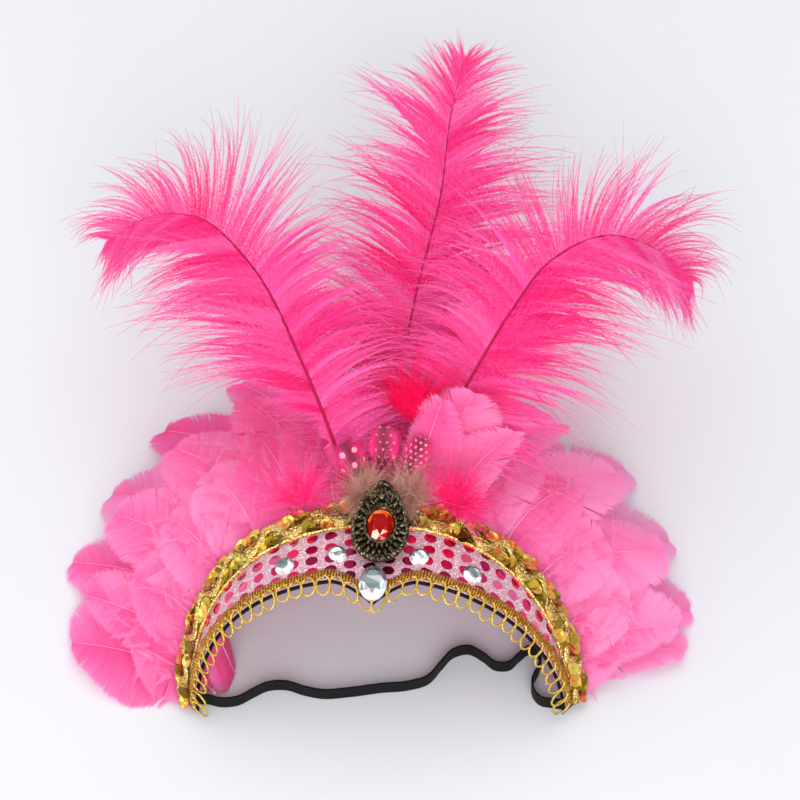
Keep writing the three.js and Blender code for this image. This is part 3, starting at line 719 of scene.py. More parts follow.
class HEADBAND_OT_band(bpy.types.Operator):
    """Makes the buckram backing, the glitter cloth and its foil dots"""

    bl_idname = "headband.band"
    bl_label = "Band and cloth"

    def execute(self, context):
        band = context.scene.headband_band
        buckram = ribbed_cloth_material("Black buckram", "#221E22", "#0C0A0C", 1.0)
        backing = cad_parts["band_backing"]
        mesh = band_sheet("backing_buckram", (0.0, 1.0), BACKING_FACE, BACKING_THICKNESS, BACKING_GRID, 0.0)
        for vert in mesh.vertices:
            vert.co.z = max(vert.co.z, 0.0)
        show("backing_buckram", mesh, buckram, "black_buckram", [backing.name])

        cloth = glitter_cloth_material("Glitter cloth", band.cloth, "#A46E80", "#FFF0F4")
        mesh = band_sheet(
            "facing_cloth", FACING_SPAN, FACING_FACE, FACING_THICKNESS, FACING_GRID, FACING_INSET
        )
        facing = show("facing_cloth", mesh, cloth, "sequin_cloth", ["band_facing"])

        rng = draws("dots")
        pitch = band.dot_pitch
        places = []
        for u in np.arange(pitch / 2, BAND_LENGTH, pitch) / BAND_LENGTH:
            width = float(band_width(u))
            for row in np.arange(DOT_EDGES[0], width - DOT_EDGES[1], pitch * DOT_ROW_SHARE):
                places.append((u, row / width))
        u, v = np.array(places).T
        centres = band_point(u, v, np.full(len(u), FACING_FACE + DOT_LIFT))
        axes = tilted(band_axes(u, v), *rng.normal(0, 0.05, (2, len(u))))
        points, triangles, each = discs(centres, axes, band.dot_size / 2, DOT_SIDES, DOT_DISH)
        # Painted shade and painted reflection: the dots are darker towards the middle of the front edge.
        shade = 0.72 - 0.62 * np.exp(-(((u - 0.5) / 0.14) ** 2)) * np.clip(1.3 - 1.6 * v, 0, 1)
        tone = np.repeat(np.clip(shade + rng.normal(0, 0.16, len(u)), 0, 1), each)
        stops = [(0.0, "#6E163C"), (0.35, "#B41A52"), (0.7, "#F82E74"), (1.0, "#FF86B8")]
        foil = foil_material("Pink foil dots", stops, 0.16)
        show_parts("foil_dots", [(points, triangles, tone)], foil, "sequin_cloth", smooth=False)
        return {"FINISHED"}


BRAID_SPAN, BRAID_WAVES, BRAID_PLACES = (0.014, 0.986), 13, 520
BRAID_SHARE, BRAID_OVERHANG = 0.38, 0.8  # most half width as a share of the band's, and past its back edge
GIMP_SWING, GIMP_PITCH, GIMP_LIFT = 0.68, 1.05, 2.0
SEQUIN_ROWS = [  # count, shift to the back in half widths, height, lean to the back, blush
    (110, 0.45, 2.7, 0.1, 0.1), (96, -0.4, 2.5, 0.0, 0.0), (66, 0.9, 1.7, 0.25, 0.46),
]
SEQUIN_SIDES, SEQUIN_DISH, SEQUIN_HOLE = 16, -0.45, 0.14


def on_braid(share, offset, width):
    """Place along and across the band, and the braid's half width, in which the offset is measured."""
    u = within(BRAID_SPAN, share)
    half = np.minimum(width / 2, band_width(u) * BRAID_SHARE)
    return u, from_back(u, half - BRAID_OVERHANG - offset * half), half


class HEADBAND_OT_sequin_braid(bpy.types.Operator):
    """Makes the gold sequin braid along the back edge"""

    bl_idname = "headband.sequin_braid"
    bl_label = "Sequin braid"

    def execute(self, context):
        band = context.scene.headband_band
        rng = draws("sequins")
        share = np.linspace(0, 1, BRAID_PLACES)
        swing = np.sin(2 * np.pi * BRAID_WAVES * share)
        lines, radii = [], []
        for aside in (-1.5, -0.5, 0.5, 1.5):  # the gimp's cords, side by side
            u, v, half = on_braid(share, swing * GIMP_SWING, band.braid_width)
            v = v + aside * GIMP_PITCH / band_width(u)
            lift = TRIM_FOOT + GIMP_LIFT + 0.7 * np.cos(aside / 2)
            radii.append(0.74 + 0.24 * rng.uniform(-1, 1, BRAID_PLACES))
            lines.append(band_point(u, v, lift + rng.uniform(-0.2, 0.2, BRAID_PLACES)))
        for offset in (-0.6, -0.3, 0.0, 0.3, 0.6):  # the ground that carries the sequins
            u, v, half = on_braid(share, np.full(BRAID_PLACES, offset), band.braid_width)
            lines.append(band_point(u, v, np.full(BRAID_PLACES, TRIM_FOOT)))
            radii.append(half * 0.17)
        stops = [(0.0, "#5E3E08"), (0.35, band.gold), (0.62, "#F0CC48"), (0.85, "#FFF8C4")]
        gold = gimp_material("Gold gimp", stops, 0.45)
        show_parts("braid_gimp", [(*rods(np.stack(lines), np.stack(radii), sides=4), 0.5)], gold, "gold_gimp")

        parts = []
        for count, offset, height, slope, blush in SEQUIN_ROWS:
            share = (np.arange(count) + rng.uniform(0.3, 0.7, count)) / count
            wave = np.sin(2 * np.pi * BRAID_WAVES * share)
            clear = np.abs(offset - wave * GIMP_SWING) > 0.36  # the gimp lies over the rest
            share, wave, count = share[clear], wave[clear], int(clear.sum())
            u, v, half = on_braid(share, offset - 0.12 * wave + rng.normal(0, 0.09, count), band.braid_width)
            centres = band_point(u, v, TRIM_FOOT + height + rng.uniform(0, 0.8, count))
            lean = rng.normal(0, 0.2, (2, count))
            along, across, out = band_axes(u, v)
            axes = tilted(
                (along, across, out), lean[0] - 0.15 + 0.3 * along[:, 2], lean[1] + slope + 0.3 * across[:, 2]
            )
            points, triangles, each = discs(
                centres, axes, band.sequin_size / 2, SEQUIN_SIDES, SEQUIN_DISH, SEQUIN_HOLE
            )
            tone = 0.62 * rng.uniform(0, 1, count) ** 1.4 + blush
            parts.append((points, triangles, np.repeat(np.clip(tone, 0, 1), each)))
        stops = [(0.0, "#665812"), (0.26, "#A88A22"), (0.5, "#F4DA62"), (0.66, "#F0A648"), (1.0, "#EE7440")]
        sequin = foil_material("Gold sequins", stops, 0.2)
        show_parts("cup_sequins", parts, sequin, "gold_sequins", ["sequin_braid"], smooth=False)
        return {"FINISHED"}


LOOP_SPAN, RIB_COUNT, RIB_RADIUS, RIB_LEAN = (0.02, 0.98), 190, 0.66, 0.5
RIB_WIDTH, RIB_SHARE = 5.2, 0.3  # width of the ribbed braid, and its most as a share of the band's
LOOP_RADIUS, LOOP_PLACES = 0.52, 21


class HEADBAND_OT_loop_braid(bpy.types.Operator):
    """Makes the ribbed gold braid along the front edge, and its loops"""

    bl_idname = "headband.loop_braid"
    bl_label = "Loop braid"

    def execute(self, context):
        band = context.scene.headband_band
        u = LOOP_SPAN[0] + (LOOP_SPAN[1] - LOOP_SPAN[0]) * (np.arange(RIB_COUNT) + 0.5) / RIB_COUNT
        width = np.minimum(RIB_WIDTH, band_width(u) * RIB_SHARE)
        across = np.linspace(0, 1, 8)
        places = u[:, None] + RIB_LEAN / BAND_LENGTH * (across - 0.5)
        reach = 0.2 + width[:, None] * across
        height = TRIM_FOOT + 0.3 + 0.75 * np.sin(np.pi * np.clip(across, 0.05, 0.95)) ** 0.5
        lines = band_point(places, from_front(places, reach), np.broadcast_to(height, places.shape))
        stops = [(0.0, "#7A4712"), (0.4, "#B97A28"), (0.8, "#D09A34"), (1.0, "#FFE680")]
        gold = gimp_material("Gold loop braid", stops, 0.5)
        ribs = (*rods(lines, RIB_RADIUS, sides=5), 0.5)
        show_parts("ribbed_braid", [ribs], gold, "gold_gimp", ["gimp_braid"])

        loops = band.loops
        pitch = (LOOP_SPAN[1] - LOOP_SPAN[0]) / loops
        rng = draws("loops")
        middle = LOOP_SPAN[0] + pitch * (np.arange(loops) + 0.5) + rng.normal(0, 0.05, loops) * pitch
        turn = 2 * np.pi * np.linspace(0.03, 0.97, LOOP_PLACES)
        size = band.loop_reach * (1 + rng.normal(0, 0.07, loops))
        out = (1 - np.cos(turn)) / 2
        reach = size[:, None] * out - 0.8
        places = np.clip(middle[:, None] + np.sin(turn) * 0.5 * pitch, 0, 1)
        fall = (band.loop_fall + rng.normal(0, 0.5, (loops, 1))) * out**1.3
        lift = TRIM_FOOT + 1.2 + 0.4 * np.cos(turn / 2) - fall
        lines = band_point(places, from_front(places, -reach), lift)
        stops = [(0.0, "#A87A16"), (0.4, "#D9AE2E"), (0.8, "#F0CF52"), (1.0, "#FFF4B0")]
        wire = gimp_material("Gold loop cord", stops, 0.3)
        cords = (*rods(lines, LOOP_RADIUS, sides=6), 0.5)
        show_parts("braid_loops", [cords], wire, "gold_gimp", ["loop_wire"])
        return {"FINISHED"}


# Stones.

# Table, star, girdle and back: corners, turn in corners, share of the half sizes, share of the height.
CUT_RINGS = [
    (8, 0.5, 0.56, 1.0), (8, 0.0, 0.8, 0.76), (16, 0.25, 1.0, 0.4), (16, 0.25, 0.97, 0.0),
]


def cut_stone(name, half_width, half_length, height, place, rng):
    """A brilliant cut with a table, star and girdle facets and a flat back."""
    bm = bmesh.new()
    for sides, offset, share, level in CUT_RINGS:
        ring = bmesh.ops.create_circle(bm, segments=sides, radius=share)["verts"]
        bmesh.ops.rotate(bm, verts=ring, matrix=Matrix.Rotation(2 * math.pi * offset / sides, 3, "Z"))
        bmesh.ops.translate(bm, verts=ring, vec=(0, 0, level))
    bmesh.ops.delete(bm, geom=bm.edges[:], context="EDGES_FACES")
    bmesh.ops.convex_hull(bm, input=bm.verts[:])
    bmesh.ops.dissolve_limit(bm, angle_limit=0.01, verts=bm.verts[:], edges=bm.edges[:])
    shape = Matrix.Rotation(-math.pi / 2, 4, "X") @ Matrix.Diagonal((half_width, half_length, height, 1.0))
    bmesh.ops.transform(bm, matrix=place @ shape, verts=bm.verts[:])
    bmesh.ops.recalc_face_normals(bm, faces=bm.faces[:])
    bmesh.ops.triangulate(bm, faces=[face for face in bm.faces if len(face.verts) > 4])
    mesh = bmesh_done(name, bm)
    # Painted reflections: each facet is coloured by how far it faces the band's front edge, light when it
    # faces it and dark when it faces away, with a little random spread.
    front = place.to_3x3().normalized() @ Vector((0, 0, 1))
    faced = np.array([polygon.normal.dot(front) for polygon in mesh.polygons])
    values = mesh.attributes.new("painted_reflection", "FLOAT", "FACE")
    shade = 0.5 + 0.75 * faced + rng.normal(0, 0.13, len(faced))
    values.data.foreach_set("value", shade.astype(np.float32))
    return mesh


ROUND_CUT, DROP_CUT = (4.7, 4.8, 3.2), (6.5, 10.0, 4.2)  # half width, half length, height
ROUND_SEAT, DROP_SEAT = (FACING_FACE - 0.2, 14.0), (TRIM_FOOT + 2.2, 10.0)  # height, tilt
CLEAR_STONES = [  # node, place along the band, distance in from the front edge, cut, seat
    ("round_stone_1", 0.351, 15.0, ROUND_CUT, ROUND_SEAT),
    ("round_stone_2", 0.439, 18.0, ROUND_CUT, ROUND_SEAT),
    ("round_stone_3", 0.571, 15.5, ROUND_CUT, ROUND_SEAT),
    ("round_stone_4", 0.663, 13.3, ROUND_CUT, ROUND_SEAT),
    ("drop_stone", 0.5, 8.5, DROP_CUT, DROP_SEAT),
]
# Painted reflections on the clear stones: dark grey on facets that face the back edge, white with a pink tint
# on those that face the front edge.
CLEAR_STOPS = [
    (0.05, "#39454A"), (0.3, "#66767A"), (0.52, "#8C9A9C"), (0.64, "#F4F6F8"), (0.9, "#FFFFFF"),
    (1.0, "#F2C9DB"),
]
# Painted reflections on the red stone: orange on facets that face the back edge, deep red between, and a pale
# glint on those that face the front edge.
RED_STOPS = [
    (0.05, "#FF9838"), (0.2, "#EC420A"), (0.36, "#9A0804"), (0.7, "#720403"), (0.92, "#C41A0C"),
    (1.0, "#FFC4B4"),
]


class HEADBAND_OT_stones(bpy.types.Operator):
    """Makes the clear stones on the band"""

    bl_idname = "headband.stones"
    bl_label = "Clear stones"

    def execute(self, context):
        clear = acrylic_material("Clear acrylic stone", CLEAR_STOPS, 0.3)
        for number, (node, u, inset, cut, seat) in enumerate(CLEAR_STONES):
            place = band_matrix(u, float(from_front(u, inset)), *seat)
            mesh = cut_stone(f"cut_{node}", *cut, place, draws("stones", number))
            show(f"cut_{node}", mesh, clear, "clear_acrylic", [node])
        return {"FINISHED"}


# Brooch, in its own millimetres: +Y out of the face, -Z to the narrow end.

BROOCH_HALF_WIDTH, BROOCH_LENGTH, BROOCH_TILT, BROOCH_ASIDE = 13.4, 40.0, 16.0, 2.2
BROOCH_INSET, BROOCH_LIFT = 21.5, 8.0  # from the band's back edge, and over the trims' feet
BROOCH_STONE = {"half_width": 6.2, "half_length": 8.6, "height": 5.0}
BROOCH_SEAT = (0.0, 2.0, 2.5)
ROPE_TURNS, ROPE_PLACES, ROPE_RADII = 26, 260, (0.85, 0.85, 0.8)
RIM_DROPS, CLAWS, LEAVES, BEADS = 26, 24, 7, 40
# Half sizes of a drop, a claw and a leaf: across, out of the face and along.
RIM_DROP, CLAW, LEAF = (1.15, 1.0, 2.5), (0.75, 0.7, 1.7), (1.0, 0.9, 2.3)


def brooch_outline(turn, share=1.0):
    narrow = 0.5 + 0.5 * np.cos(turn)
    x = BROOCH_HALF_WIDTH * np.sin(turn) * (1 - 0.42 * narrow**2)
    z = -BROOCH_LENGTH * (0.5 * np.cos(turn) + 0.06 * narrow**2)
    return x * share, z * share


def cast_drop(bm, centre, sizes, lean, heading=None):
    """Adds a small cast drop, long along its heading in the face, or else away from the stone."""
    if heading is None:
        heading = math.atan2(centre[0], centre[2] - BROOCH_SEAT[2])
    place = (
        Matrix.Translation(centre) @ Matrix.Rotation(heading, 4, "Y") @ Matrix.Rotation(lean, 4, "X")
        @ Matrix.Diagonal((*sizes, 1.0))
    )
    bmesh.ops.create_uvsphere(bm, u_segments=10, v_segments=6, radius=1.0, matrix=place)


def cast_bead(bm, centre, radius, subdivisions):
    matrix = Matrix.Translation(centre)
    bmesh.ops.create_icosphere(bm, subdivisions=subdivisions, radius=radius, matrix=matrix)


def brooch_cast(place):
    """The plate with its rows of drops and beads."""
    bm = bmesh.new()
    x, z = brooch_outline(circle(64), 0.95)
    base = bm.faces.new([bm.verts.new((a, 0.0, b)) for a, b in zip(x, z)])
    raised = bmesh.ops.extrude_face_region(bm, geom=[base])["geom"]
    bmesh.ops.translate(bm, verts=[v for v in raised if isinstance(v, bmesh.types.BMVert)], vec=(0, 1.3, 0))
    top = [f for f in raised if isinstance(f, bmesh.types.BMFace)]
    bmesh.ops.inset_region(bm, faces=top, thickness=2.2, depth=0.6)
    for i in range(RIM_DROPS):
        a, b = brooch_outline(2 * math.pi * i / RIM_DROPS, 0.8)
        cast_drop(bm, (a, 2.0, b), RIM_DROP, -0.2)
    for i in range(CLAWS):  # round the stone
        turn = 2 * math.pi * (i + 0.5) / CLAWS
        a = BROOCH_STONE["half_width"] * 1.32 * math.sin(turn)
        b = BROOCH_SEAT[2] + BROOCH_STONE["half_length"] * 1.24 * math.cos(turn)
        cast_drop(bm, (a, 3.3, b), CLAW, 0.25)
    for i in range(LEAVES):  # at the narrow end
        turn = math.radians(-72 + 24 * i)
        centre = (4.6 * math.sin(turn), 2.8, -14.2 - 3.4 * math.cos(turn))
        cast_drop(bm, centre, LEAF, 0.1, turn + math.pi)
    cast_bead(bm, (0, 3.0, -13.6), 1.9, 2)
    for i in range(BEADS):  # between the rim and the claws
        a, b = brooch_outline(2 * math.pi * (i + 0.5) / BEADS, 0.62)
        if math.hypot(a / 8.6, (b - BROOCH_SEAT[2]) / 11.2) > 1:
            cast_bead(bm, (a, 2.3, b), 0.85, 1)
    bmesh.ops.transform(bm, matrix=place, verts=bm.verts[:])
    bmesh.ops.recalc_face_normals(bm, faces=bm.faces[:])
    mesh = bmesh_done("brooch_cast", bm)
    set_smooth(mesh, True)
    return mesh


def brooch_ropes(place):
    """Two strands twisted along the rim, and a plain ring round the stone."""
    fine = circle(ROPE_PLACES)
    strands = []
    for phase in (0.0, np.pi):
        x, z = brooch_outline(fine)
        twist = ROPE_TURNS * fine + phase
        x, z = x * (1 + 0.05 * np.cos(twist)), z * (1 + 0.03 * np.cos(twist))
        strands.append(np.stack((x, 1.5 + 0.75 * np.sin(twist), z), axis=-1))
    x = (BROOCH_STONE["half_width"] + 0.9) * np.sin(fine)
    z = BROOCH_SEAT[2] + (BROOCH_STONE["half_length"] + 0.9) * np.cos(fine)
    strands.append(np.stack((x, np.full_like(fine, 3.9), z), axis=-1))
    lines = np.array([[tuple(place @ Vector(p)) for p in line] for line in strands]) / MM - ORIGIN
    return rods(lines, np.array(ROPE_RADII)[:, None], sides=6, closed=True)


class HEADBAND_OT_brooch(bpy.types.Operator):
    """Makes the cast brooch and its oval stone"""

    bl_idname = "headband.brooch"
    bl_label = "Brooch"

    def execute(self, context):
        place = band_matrix(0.5, float(from_back(0.5, BROOCH_INSET)), TRIM_FOOT + BROOCH_LIFT, BROOCH_TILT)
        place = place @ Matrix.Translation((BROOCH_ASIDE, 0.0, 0.0))
        stops = [(0.3, "#1E1A14"), (0.5, "#4C4434"), (0.74, "#A09472")]
        brass = antique_brass_material("Antique brass", stops)
        show_parts("brooch_ropes", [(*brooch_ropes(place), 0.5)], brass, "antique_brass")
        show("brooch_cast", brooch_cast(place), brass, "antique_brass", ["brooch_setting"])

        seat = place @ Matrix.Translation(BROOCH_SEAT)
        mesh = cut_stone("brooch_gem", *BROOCH_STONE.values(), seat, draws("gem"))
        red = acrylic_material("Red acrylic stone", RED_STOPS, 0.0, 0.06)
        show("brooch_gem", mesh, red, "red_acrylic", ["brooch_stone"])
        return {"FINISHED"}


# Goose feathers on the fans.

FANS = {  # place along the band, and the fan's outer end
    "left": [
        (0.03, -146, 34, 6), (0.12, -150, 76, 3), (0.22, -136, 112, 2), (0.31, -118, 147, 1.5),
        (0.39, -88, 178, 3), (0.45, -56, 170, 36),
    ],
    "right": [
        (0.97, 141, 24, 6), (0.89, 148, 50, 3), (0.79, 143, 85, 2), (0.70, 128, 123, 1.5),
        (0.62, 104, 146, 18), (0.55, 66, 144, 60),
    ],
    "crest": [(0.62, 76, 110, 98), (0.575, 48, 107, 111), (0.535, 22, 116, 112)],
}
# Each row's height over the fan at the root, at the tip, and its least height over the floor.
BACK_ROW, FRONT_ROW, CREST_ROW = (-8.0, -1.5, 0.0), (-4.4, 7.5, 2.4), (-4.4, 3.0, 0.0)
COVERT_ROW, HIGH_ROW = (-2.6, 12.0, 3.0), (-1.6, 9.0, 3.0)
# How far the roots go inside the band, and how far a feather's edges are tilted up and down.
GOOSE_INSIDE, COVERT_INSIDE, SHINGLE = 12.0, 9.0, 2.4

GOOSE_FEATHERS = [  # fan and row, then each feather's place, reach, half width and rise of the tip
    (
        "left", BACK_ROW,
        (0.02, 1.0, 22, 0), (0.24, 1.0, 23, 0), (0.46, 1.0, 24, 0), (0.68, 1.0, 24, 0), (0.9, 1.0, 23, 0),
    ),
    ("left", FRONT_ROW, (0.13, 0.85, 20, 3), (0.36, 0.82, 21, 4), (0.59, 0.76, 21, 4), (0.82, 0.72, 20, 6)),
    (
        "right", BACK_ROW,
        (0.08, 1.0, 17, 0), (0.24, 1.0, 22, 0), (0.46, 1.0, 23, 0), (0.68, 1.0, 23, 0), (0.9, 0.95, 21, 0),
    ),
    ("right", FRONT_ROW, (0.13, 0.9, 20, 3), (0.36, 0.85, 21, 5), (0.59, 0.8, 21, 8), (0.82, 0.8, 19, 10)),
    ("crest", CREST_ROW, (0.56, 1.0, 18, 0)),
]
COVERTS = [  # the short feathers over the others, next to the braid, in the same terms
    (
        "left", COVERT_ROW, (0.04, 0.55, 19, 2), (0.22, 0.56, 20, 3), (0.4, 0.52, 20, 3),
        (0.57, 0.5, 20, 3), (0.74, 0.48, 20, 3), (0.92, 0.5, 19, 3),
    ),
    (
        "right", COVERT_ROW, (0.08, 0.55, 17, 2), (0.22, 0.58, 19, 3), (0.4, 0.55, 20, 3),
        (0.57, 0.55, 20, 3), (0.74, 0.55, 20, 3), (0.92, 0.6, 19, 3),
    ),
    ("crest", HIGH_ROW, (0.15, 0.85, 16, 2), (0.74, 0.95, 13, 2)),
]
# How much deeper pink each fan's feathers are made, and how much more away from the fan's middle.
GOOSE_DEPTHS = {"left": (0.12, 0.46), "right": (0.0, 0.0), "crest": (0.12, 0.0)}
COVERT_DEPTHS = {"left": (0.17, 0.3), "right": (0.03, 0.0), "crest": (0.12, 0.0)}
FAN_MIDDLE = 0.42


def fan_within(table, place, reach):
    """Points of a fan for places from 0 to 1, and reaches from 0 at the band to 1 at the outer end."""
    rows = spline(table, place)
    u, end = rows[..., 0], rows[..., 1:]
    one = np.ones_like(u)
    root = band_middle(u, one)
    _, across, out = band_axes(u, one)
    far = np.linalg.norm(root - end, axis=-1, keepdims=True)
    turn = root + across * far * 0.45 + out * far * 0.1
    r = reach[..., None]
    bent = root * (1 - r) ** 2 + turn * 2 * r * (1 - r) + end * r**2
    return np.where(r < 0, root + across * far * r, bent)


def fan_middle(table, place, reach):
    """Points of a fan, which goes straight on past its two sides."""
    place, reach = np.broadcast_arrays(np.asarray(place, float), np.asarray(reach, float))
    near, inner = np.clip(place, 0, 1), np.clip(place, 0.1, 0.9)
    at = fan_within(table, near, reach)
    gap = inner - near
    share = np.where(np.abs(gap) > 1e-9, (place - near) / np.where(np.abs(gap) > 1e-9, gap, 1), 0)
    return at + (fan_within(table, inner, reach) - at) * share[..., None]


def fan_over(table, place, reach):
    """Directions out of a fan's upper face."""
    slope = 0.01
    side = fan_middle(table, place + slope, reach) - fan_middle(table, place - slope, reach)
    away = fan_middle(table, place, reach + slope) - fan_middle(table, place, reach - slope)
    return unit(np.cross(side, away)) * -np.sign(table[0][1])


def goose_surface(fan, row, place, reach, half, rise, inside):
    """A function that gives points of one feather for shares along it and millimetres aside."""
    table = FANS[fan]
    root = fan_middle(table, place, 0.0)
    first = -inside / np.linalg.norm(root - fan_middle(table, place, 1.0))

    def surface(share, aside, lift=0.0):
        along = first + (reach - first) * share
        bow = np.maximum(along, 0)
        wide = fan_middle(table, place + 0.02, bow) - fan_middle(table, place - 0.02, bow)
        shift = place + aside / np.maximum(np.linalg.norm(wide, axis=-1) / 0.04, 1)
        tile = -SHINGLE * aside / half * np.minimum(1, bow * 2.2)
        height = row[0] + (row[1] - row[0]) * bow + tile + rise * bow**2 + lift
        points = fan_middle(table, shift, along) + fan_over(table, shift, along) * height[..., None]
        points[..., 2] = np.maximum(points[..., 2], row[2] + 0.3 + 0.3 * np.asarray(lift))
        return points

    return surface


def each_goose(table, depths, inside, kind):
    """For each feather of a table: its fan, surface, half width, how much deeper pink it is made, and random
    draws.
    """
    number = 0
    for fan, row, *feathers in table:
        base, more = depths[fan]
        for place, reach, half, rise in feathers:
            surface = goose_surface(fan, row, place, reach, half, rise, inside)
            yield fan, surface, half, base + more * abs(place - FAN_MIDDLE), draws(kind, number)
            number += 1


# Share along a feather, and share of its half width.
BLADE_OUTLINE = np.array((
    (0.15, 0.0), (0.19, 0.3), (0.28, 0.64), (0.38, 0.84), (0.5, 0.96), (0.62, 1.0), (0.72, 0.98),
    (0.82, 0.9), (0.9, 0.75), (0.95, 0.57), (0.98, 0.38), (1.0, 0.1),
))
COVERT_OUTLINE = np.array((
    (0.0, 0.78), (0.1, 0.84), (0.25, 0.92), (0.4, 0.98), (0.6, 1.0), (0.75, 0.94), (0.86, 0.8), (0.94, 0.58),
    (0.98, 0.36), (1.0, 0.1),
))
COVERT_DOWN, COVERT_SWEEP = 50, 0.12
BLADE_PLACES, BLADE_END, CLUMP_BREAK = 8, 0.985, 0.978
RACHIS_PLACES, RACHIS_LIFT, RACHIS_RADII = 40, 0.45, ((0, 0.3, 1), (0.7, 0.45, 0.1))


def blade_parts(surface, half, rng, barbs, down=46, outline=BLADE_OUTLINE, sweep=0.2, depth=0.0):
    """A feather's blade: barbs laid side by side, parted here and there, with a rachis and some down."""
    r = np.linspace(0, 1, BLADE_PLACES)
    parts = []
    wave = rng.uniform(0, 1, 4)
    curl = rng.uniform(-0.4, 1.0)
    shade = rng.normal(0.06, 0.06) - depth

    def lift(share, aside):
        edge = np.abs(aside) / half
        ripple = np.sin(2 * np.pi * (share * (1.6 + wave[0]) + wave[1]) + np.sign(aside) * wave[2] * 2)
        rolled = 0.9 * ripple * edge**2 + curl * 2.0 * edge**2 * share
        return rolled + 2.0 * curl * np.maximum(share - 0.8, 0) * 5 * edge

    for side in (-1, 1):
        start = np.linspace(outline[0, 0], BLADE_END, barbs)
        clump = np.cumsum(rng.uniform(0, 1, barbs) > CLUMP_BREAK)
        jog = rng.normal(0, 1, clump.max() + 1)[clump]
        jag = rng.normal(0, 1, clump.max() + 1)[clump]
        end = np.minimum(start + sweep * (1 - 0.62 * start) * (1 + 0.1 * jog), 1 - 0.3 * (1 - start))
        uneven = 1 + 0.04 * jag + rng.normal(0, 0.012, barbs)
        reach = half * np.interp(end, outline[:, 0], outline[:, 1]) * uneven
        aside = side * reach[:, None] * r**0.92
        share = start[:, None] + (end - start)[:, None] * r**1.25
        width = 0.85 * (BLADE_END - outline[0, 0]) / barbs * (1 - 0.3 * r**4)
        height = lift(share, aside)
        rim = 0.05 * (-1) ** np.arange(barbs)[:, None] * np.minimum(1, r * 4)
        low = surface(share - width, aside, height - 0.06 + rim)
        high = surface(share + width, aside, height + 0.06 + rim)
        tone = 0.5 + 0.16 * r[None] + 0.05 * jag[:, None] + rng.normal(0, 0.025, (barbs, 1)) + shade
        parts.append((*ribbons(low, high), np.repeat(tone.ravel(), 2)))
        tip = (low[:, -1] + high[:, -1]) / 2
        way = unit(tip - (low[:, -3] + high[:, -3]) / 2)
        for spread in (-0.45, -0.15, 0.15, 0.45):  # the frayed ends of each barb
            bent = unit(way + spread * unit(high[:, -1] - low[:, -1]) + rng.normal(0, 0.2, way.shape))
            far = tip + bent * rng.uniform(0.6, 3.4, (barbs, 1))
            far[:, 2] = np.maximum(far[:, 2], 0.25)
            frayed = slivers(tip, far, (high[:, -1] - low[:, -1]) * 0.2)
            parts.append((*frayed, np.repeat(tone[:, -1] + 0.08, 3)))
    spine = np.linspace(0.0, BLADE_END, RACHIS_PLACES)
    line = surface(spine, np.zeros_like(spine), np.full_like(spine, RACHIS_LIFT))
    parts.append((*rods(line[None], np.interp(spine, *RACHIS_RADII)[None], sides=6), 0.0))
    start = rng.uniform(0.15, 0.36, down)
    sides = np.where(rng.uniform(0, 1, down) < 0.5, -1, 1)
    reach = rng.uniform(0.25, 0.62, down) * half
    k = np.linspace(0, 1, 6)
    aside = (sides * reach)[:, None] * k**0.9 + rng.normal(0, 1.2, (down, 1)) * k**2
    share = start[:, None] + rng.uniform(-0.02, 0.1, (down, 1)) * k
    lines = surface(share, aside, 0.5 + rng.uniform(0.0, 3.6, (down, 1)) * k**1.3)
    return parts + strand_parts(lines, 0.1, 12, 2.4, rng, 0.45)


def strand_parts(lines, radius, barbules, length, rng, tone, face=UP, taper=0.45, fine=0.05, fall=1.4):
    """Soft strands with fine barbules on both sides, shorter towards the tip."""
    count, places = lines.shape[:2]
    shares = np.linspace(0, 1, places)
    stems = rods(lines, np.broadcast_to(radius * (1 - 0.75 * shares), (count, places)))
    tone = np.broadcast_to(np.asarray(tone, float), (count,))
    along = np.repeat(0.16 * shares - 0.06, 3)
    parts = [(*stems, (tone[:, None] + along).ravel())]
    at = (np.arange(barbules) + 0.5) / barbules
    at = np.clip(at + rng.uniform(-0.4, 0.4, (count, barbules)) / barbules, 0.0, 0.995)
    place = at * (places - 1)
    i = np.floor(place).astype(int)
    w = (place - i)[..., None]
    row = np.arange(count)[:, None]
    roots = lines[row, i] * (1 - w) + lines[row, i + 1] * w
    tangent = unit(lines[row, i + 1] - lines[row, i])
    aside = unit(np.cross(tangent, face))
    over = np.cross(aside, tangent)
    length = np.broadcast_to(np.asarray(length, float), (count,))[:, None, None]
    size = length * (1 - taper * at**fall)[..., None]
    for side in (-1, 1):
        stray = rng.normal(0, 0.3, roots.shape[:2])[..., None]
        close = at[..., None] ** 2
        way = unit(tangent * (0.9 + 1.4 * close) + (aside * side * 0.7 + over * stray) * (1 - 0.5 * close))
        tips = roots + way * size * rng.uniform(0.7, 1.15, roots.shape[:2])[..., None]
        base = tangent * (fine * length)
        barbs = slivers(roots.reshape(-1, 3), tips.reshape(-1, 3), base.reshape(-1, 3))
        shade = tone[:, None] + 0.16 * at + rng.normal(-0.01, 0.06, roots.shape[:2])
        parts.append((*barbs, np.repeat(shade.ravel(), 3)))
    return parts


INNER_FEATHERS = [  # root, tip and half width of the feathers seen through the arch at its left end
    ((-80, 20, 40), (-68, 16, 1.5), 9.5),
    ((-79, 22, 46), (-67, 20, 4), 9.0),
    ((-83, 18, 33), (-76, 15, 3), 7.5),
]
INNER_RISE, INNER_DEPTH, INNER_BARBS, INNER_DOWN = -2.0, 0.44, 90, 40


def flat_surface(root, direction, half, rise):
    """A function that gives points of a small feather for shares along it and millimetres aside."""
    length = np.linalg.norm(direction)
    forward = np.asarray(direction, float) / length
    wide = unit(np.cross(forward, UP))
    over = np.cross(wide, forward)

    def surface(share, aside, lift=0.0):
        share, aside = np.asarray(share, float)[..., None], np.asarray(aside, float)[..., None]
        height = rise * share**2 - 1.4 * (aside / half) ** 2 + np.asarray(lift, float)[..., None] * 0.4
        return np.asarray(root, float) + forward * length * share + wide * aside + over * height

    return surface


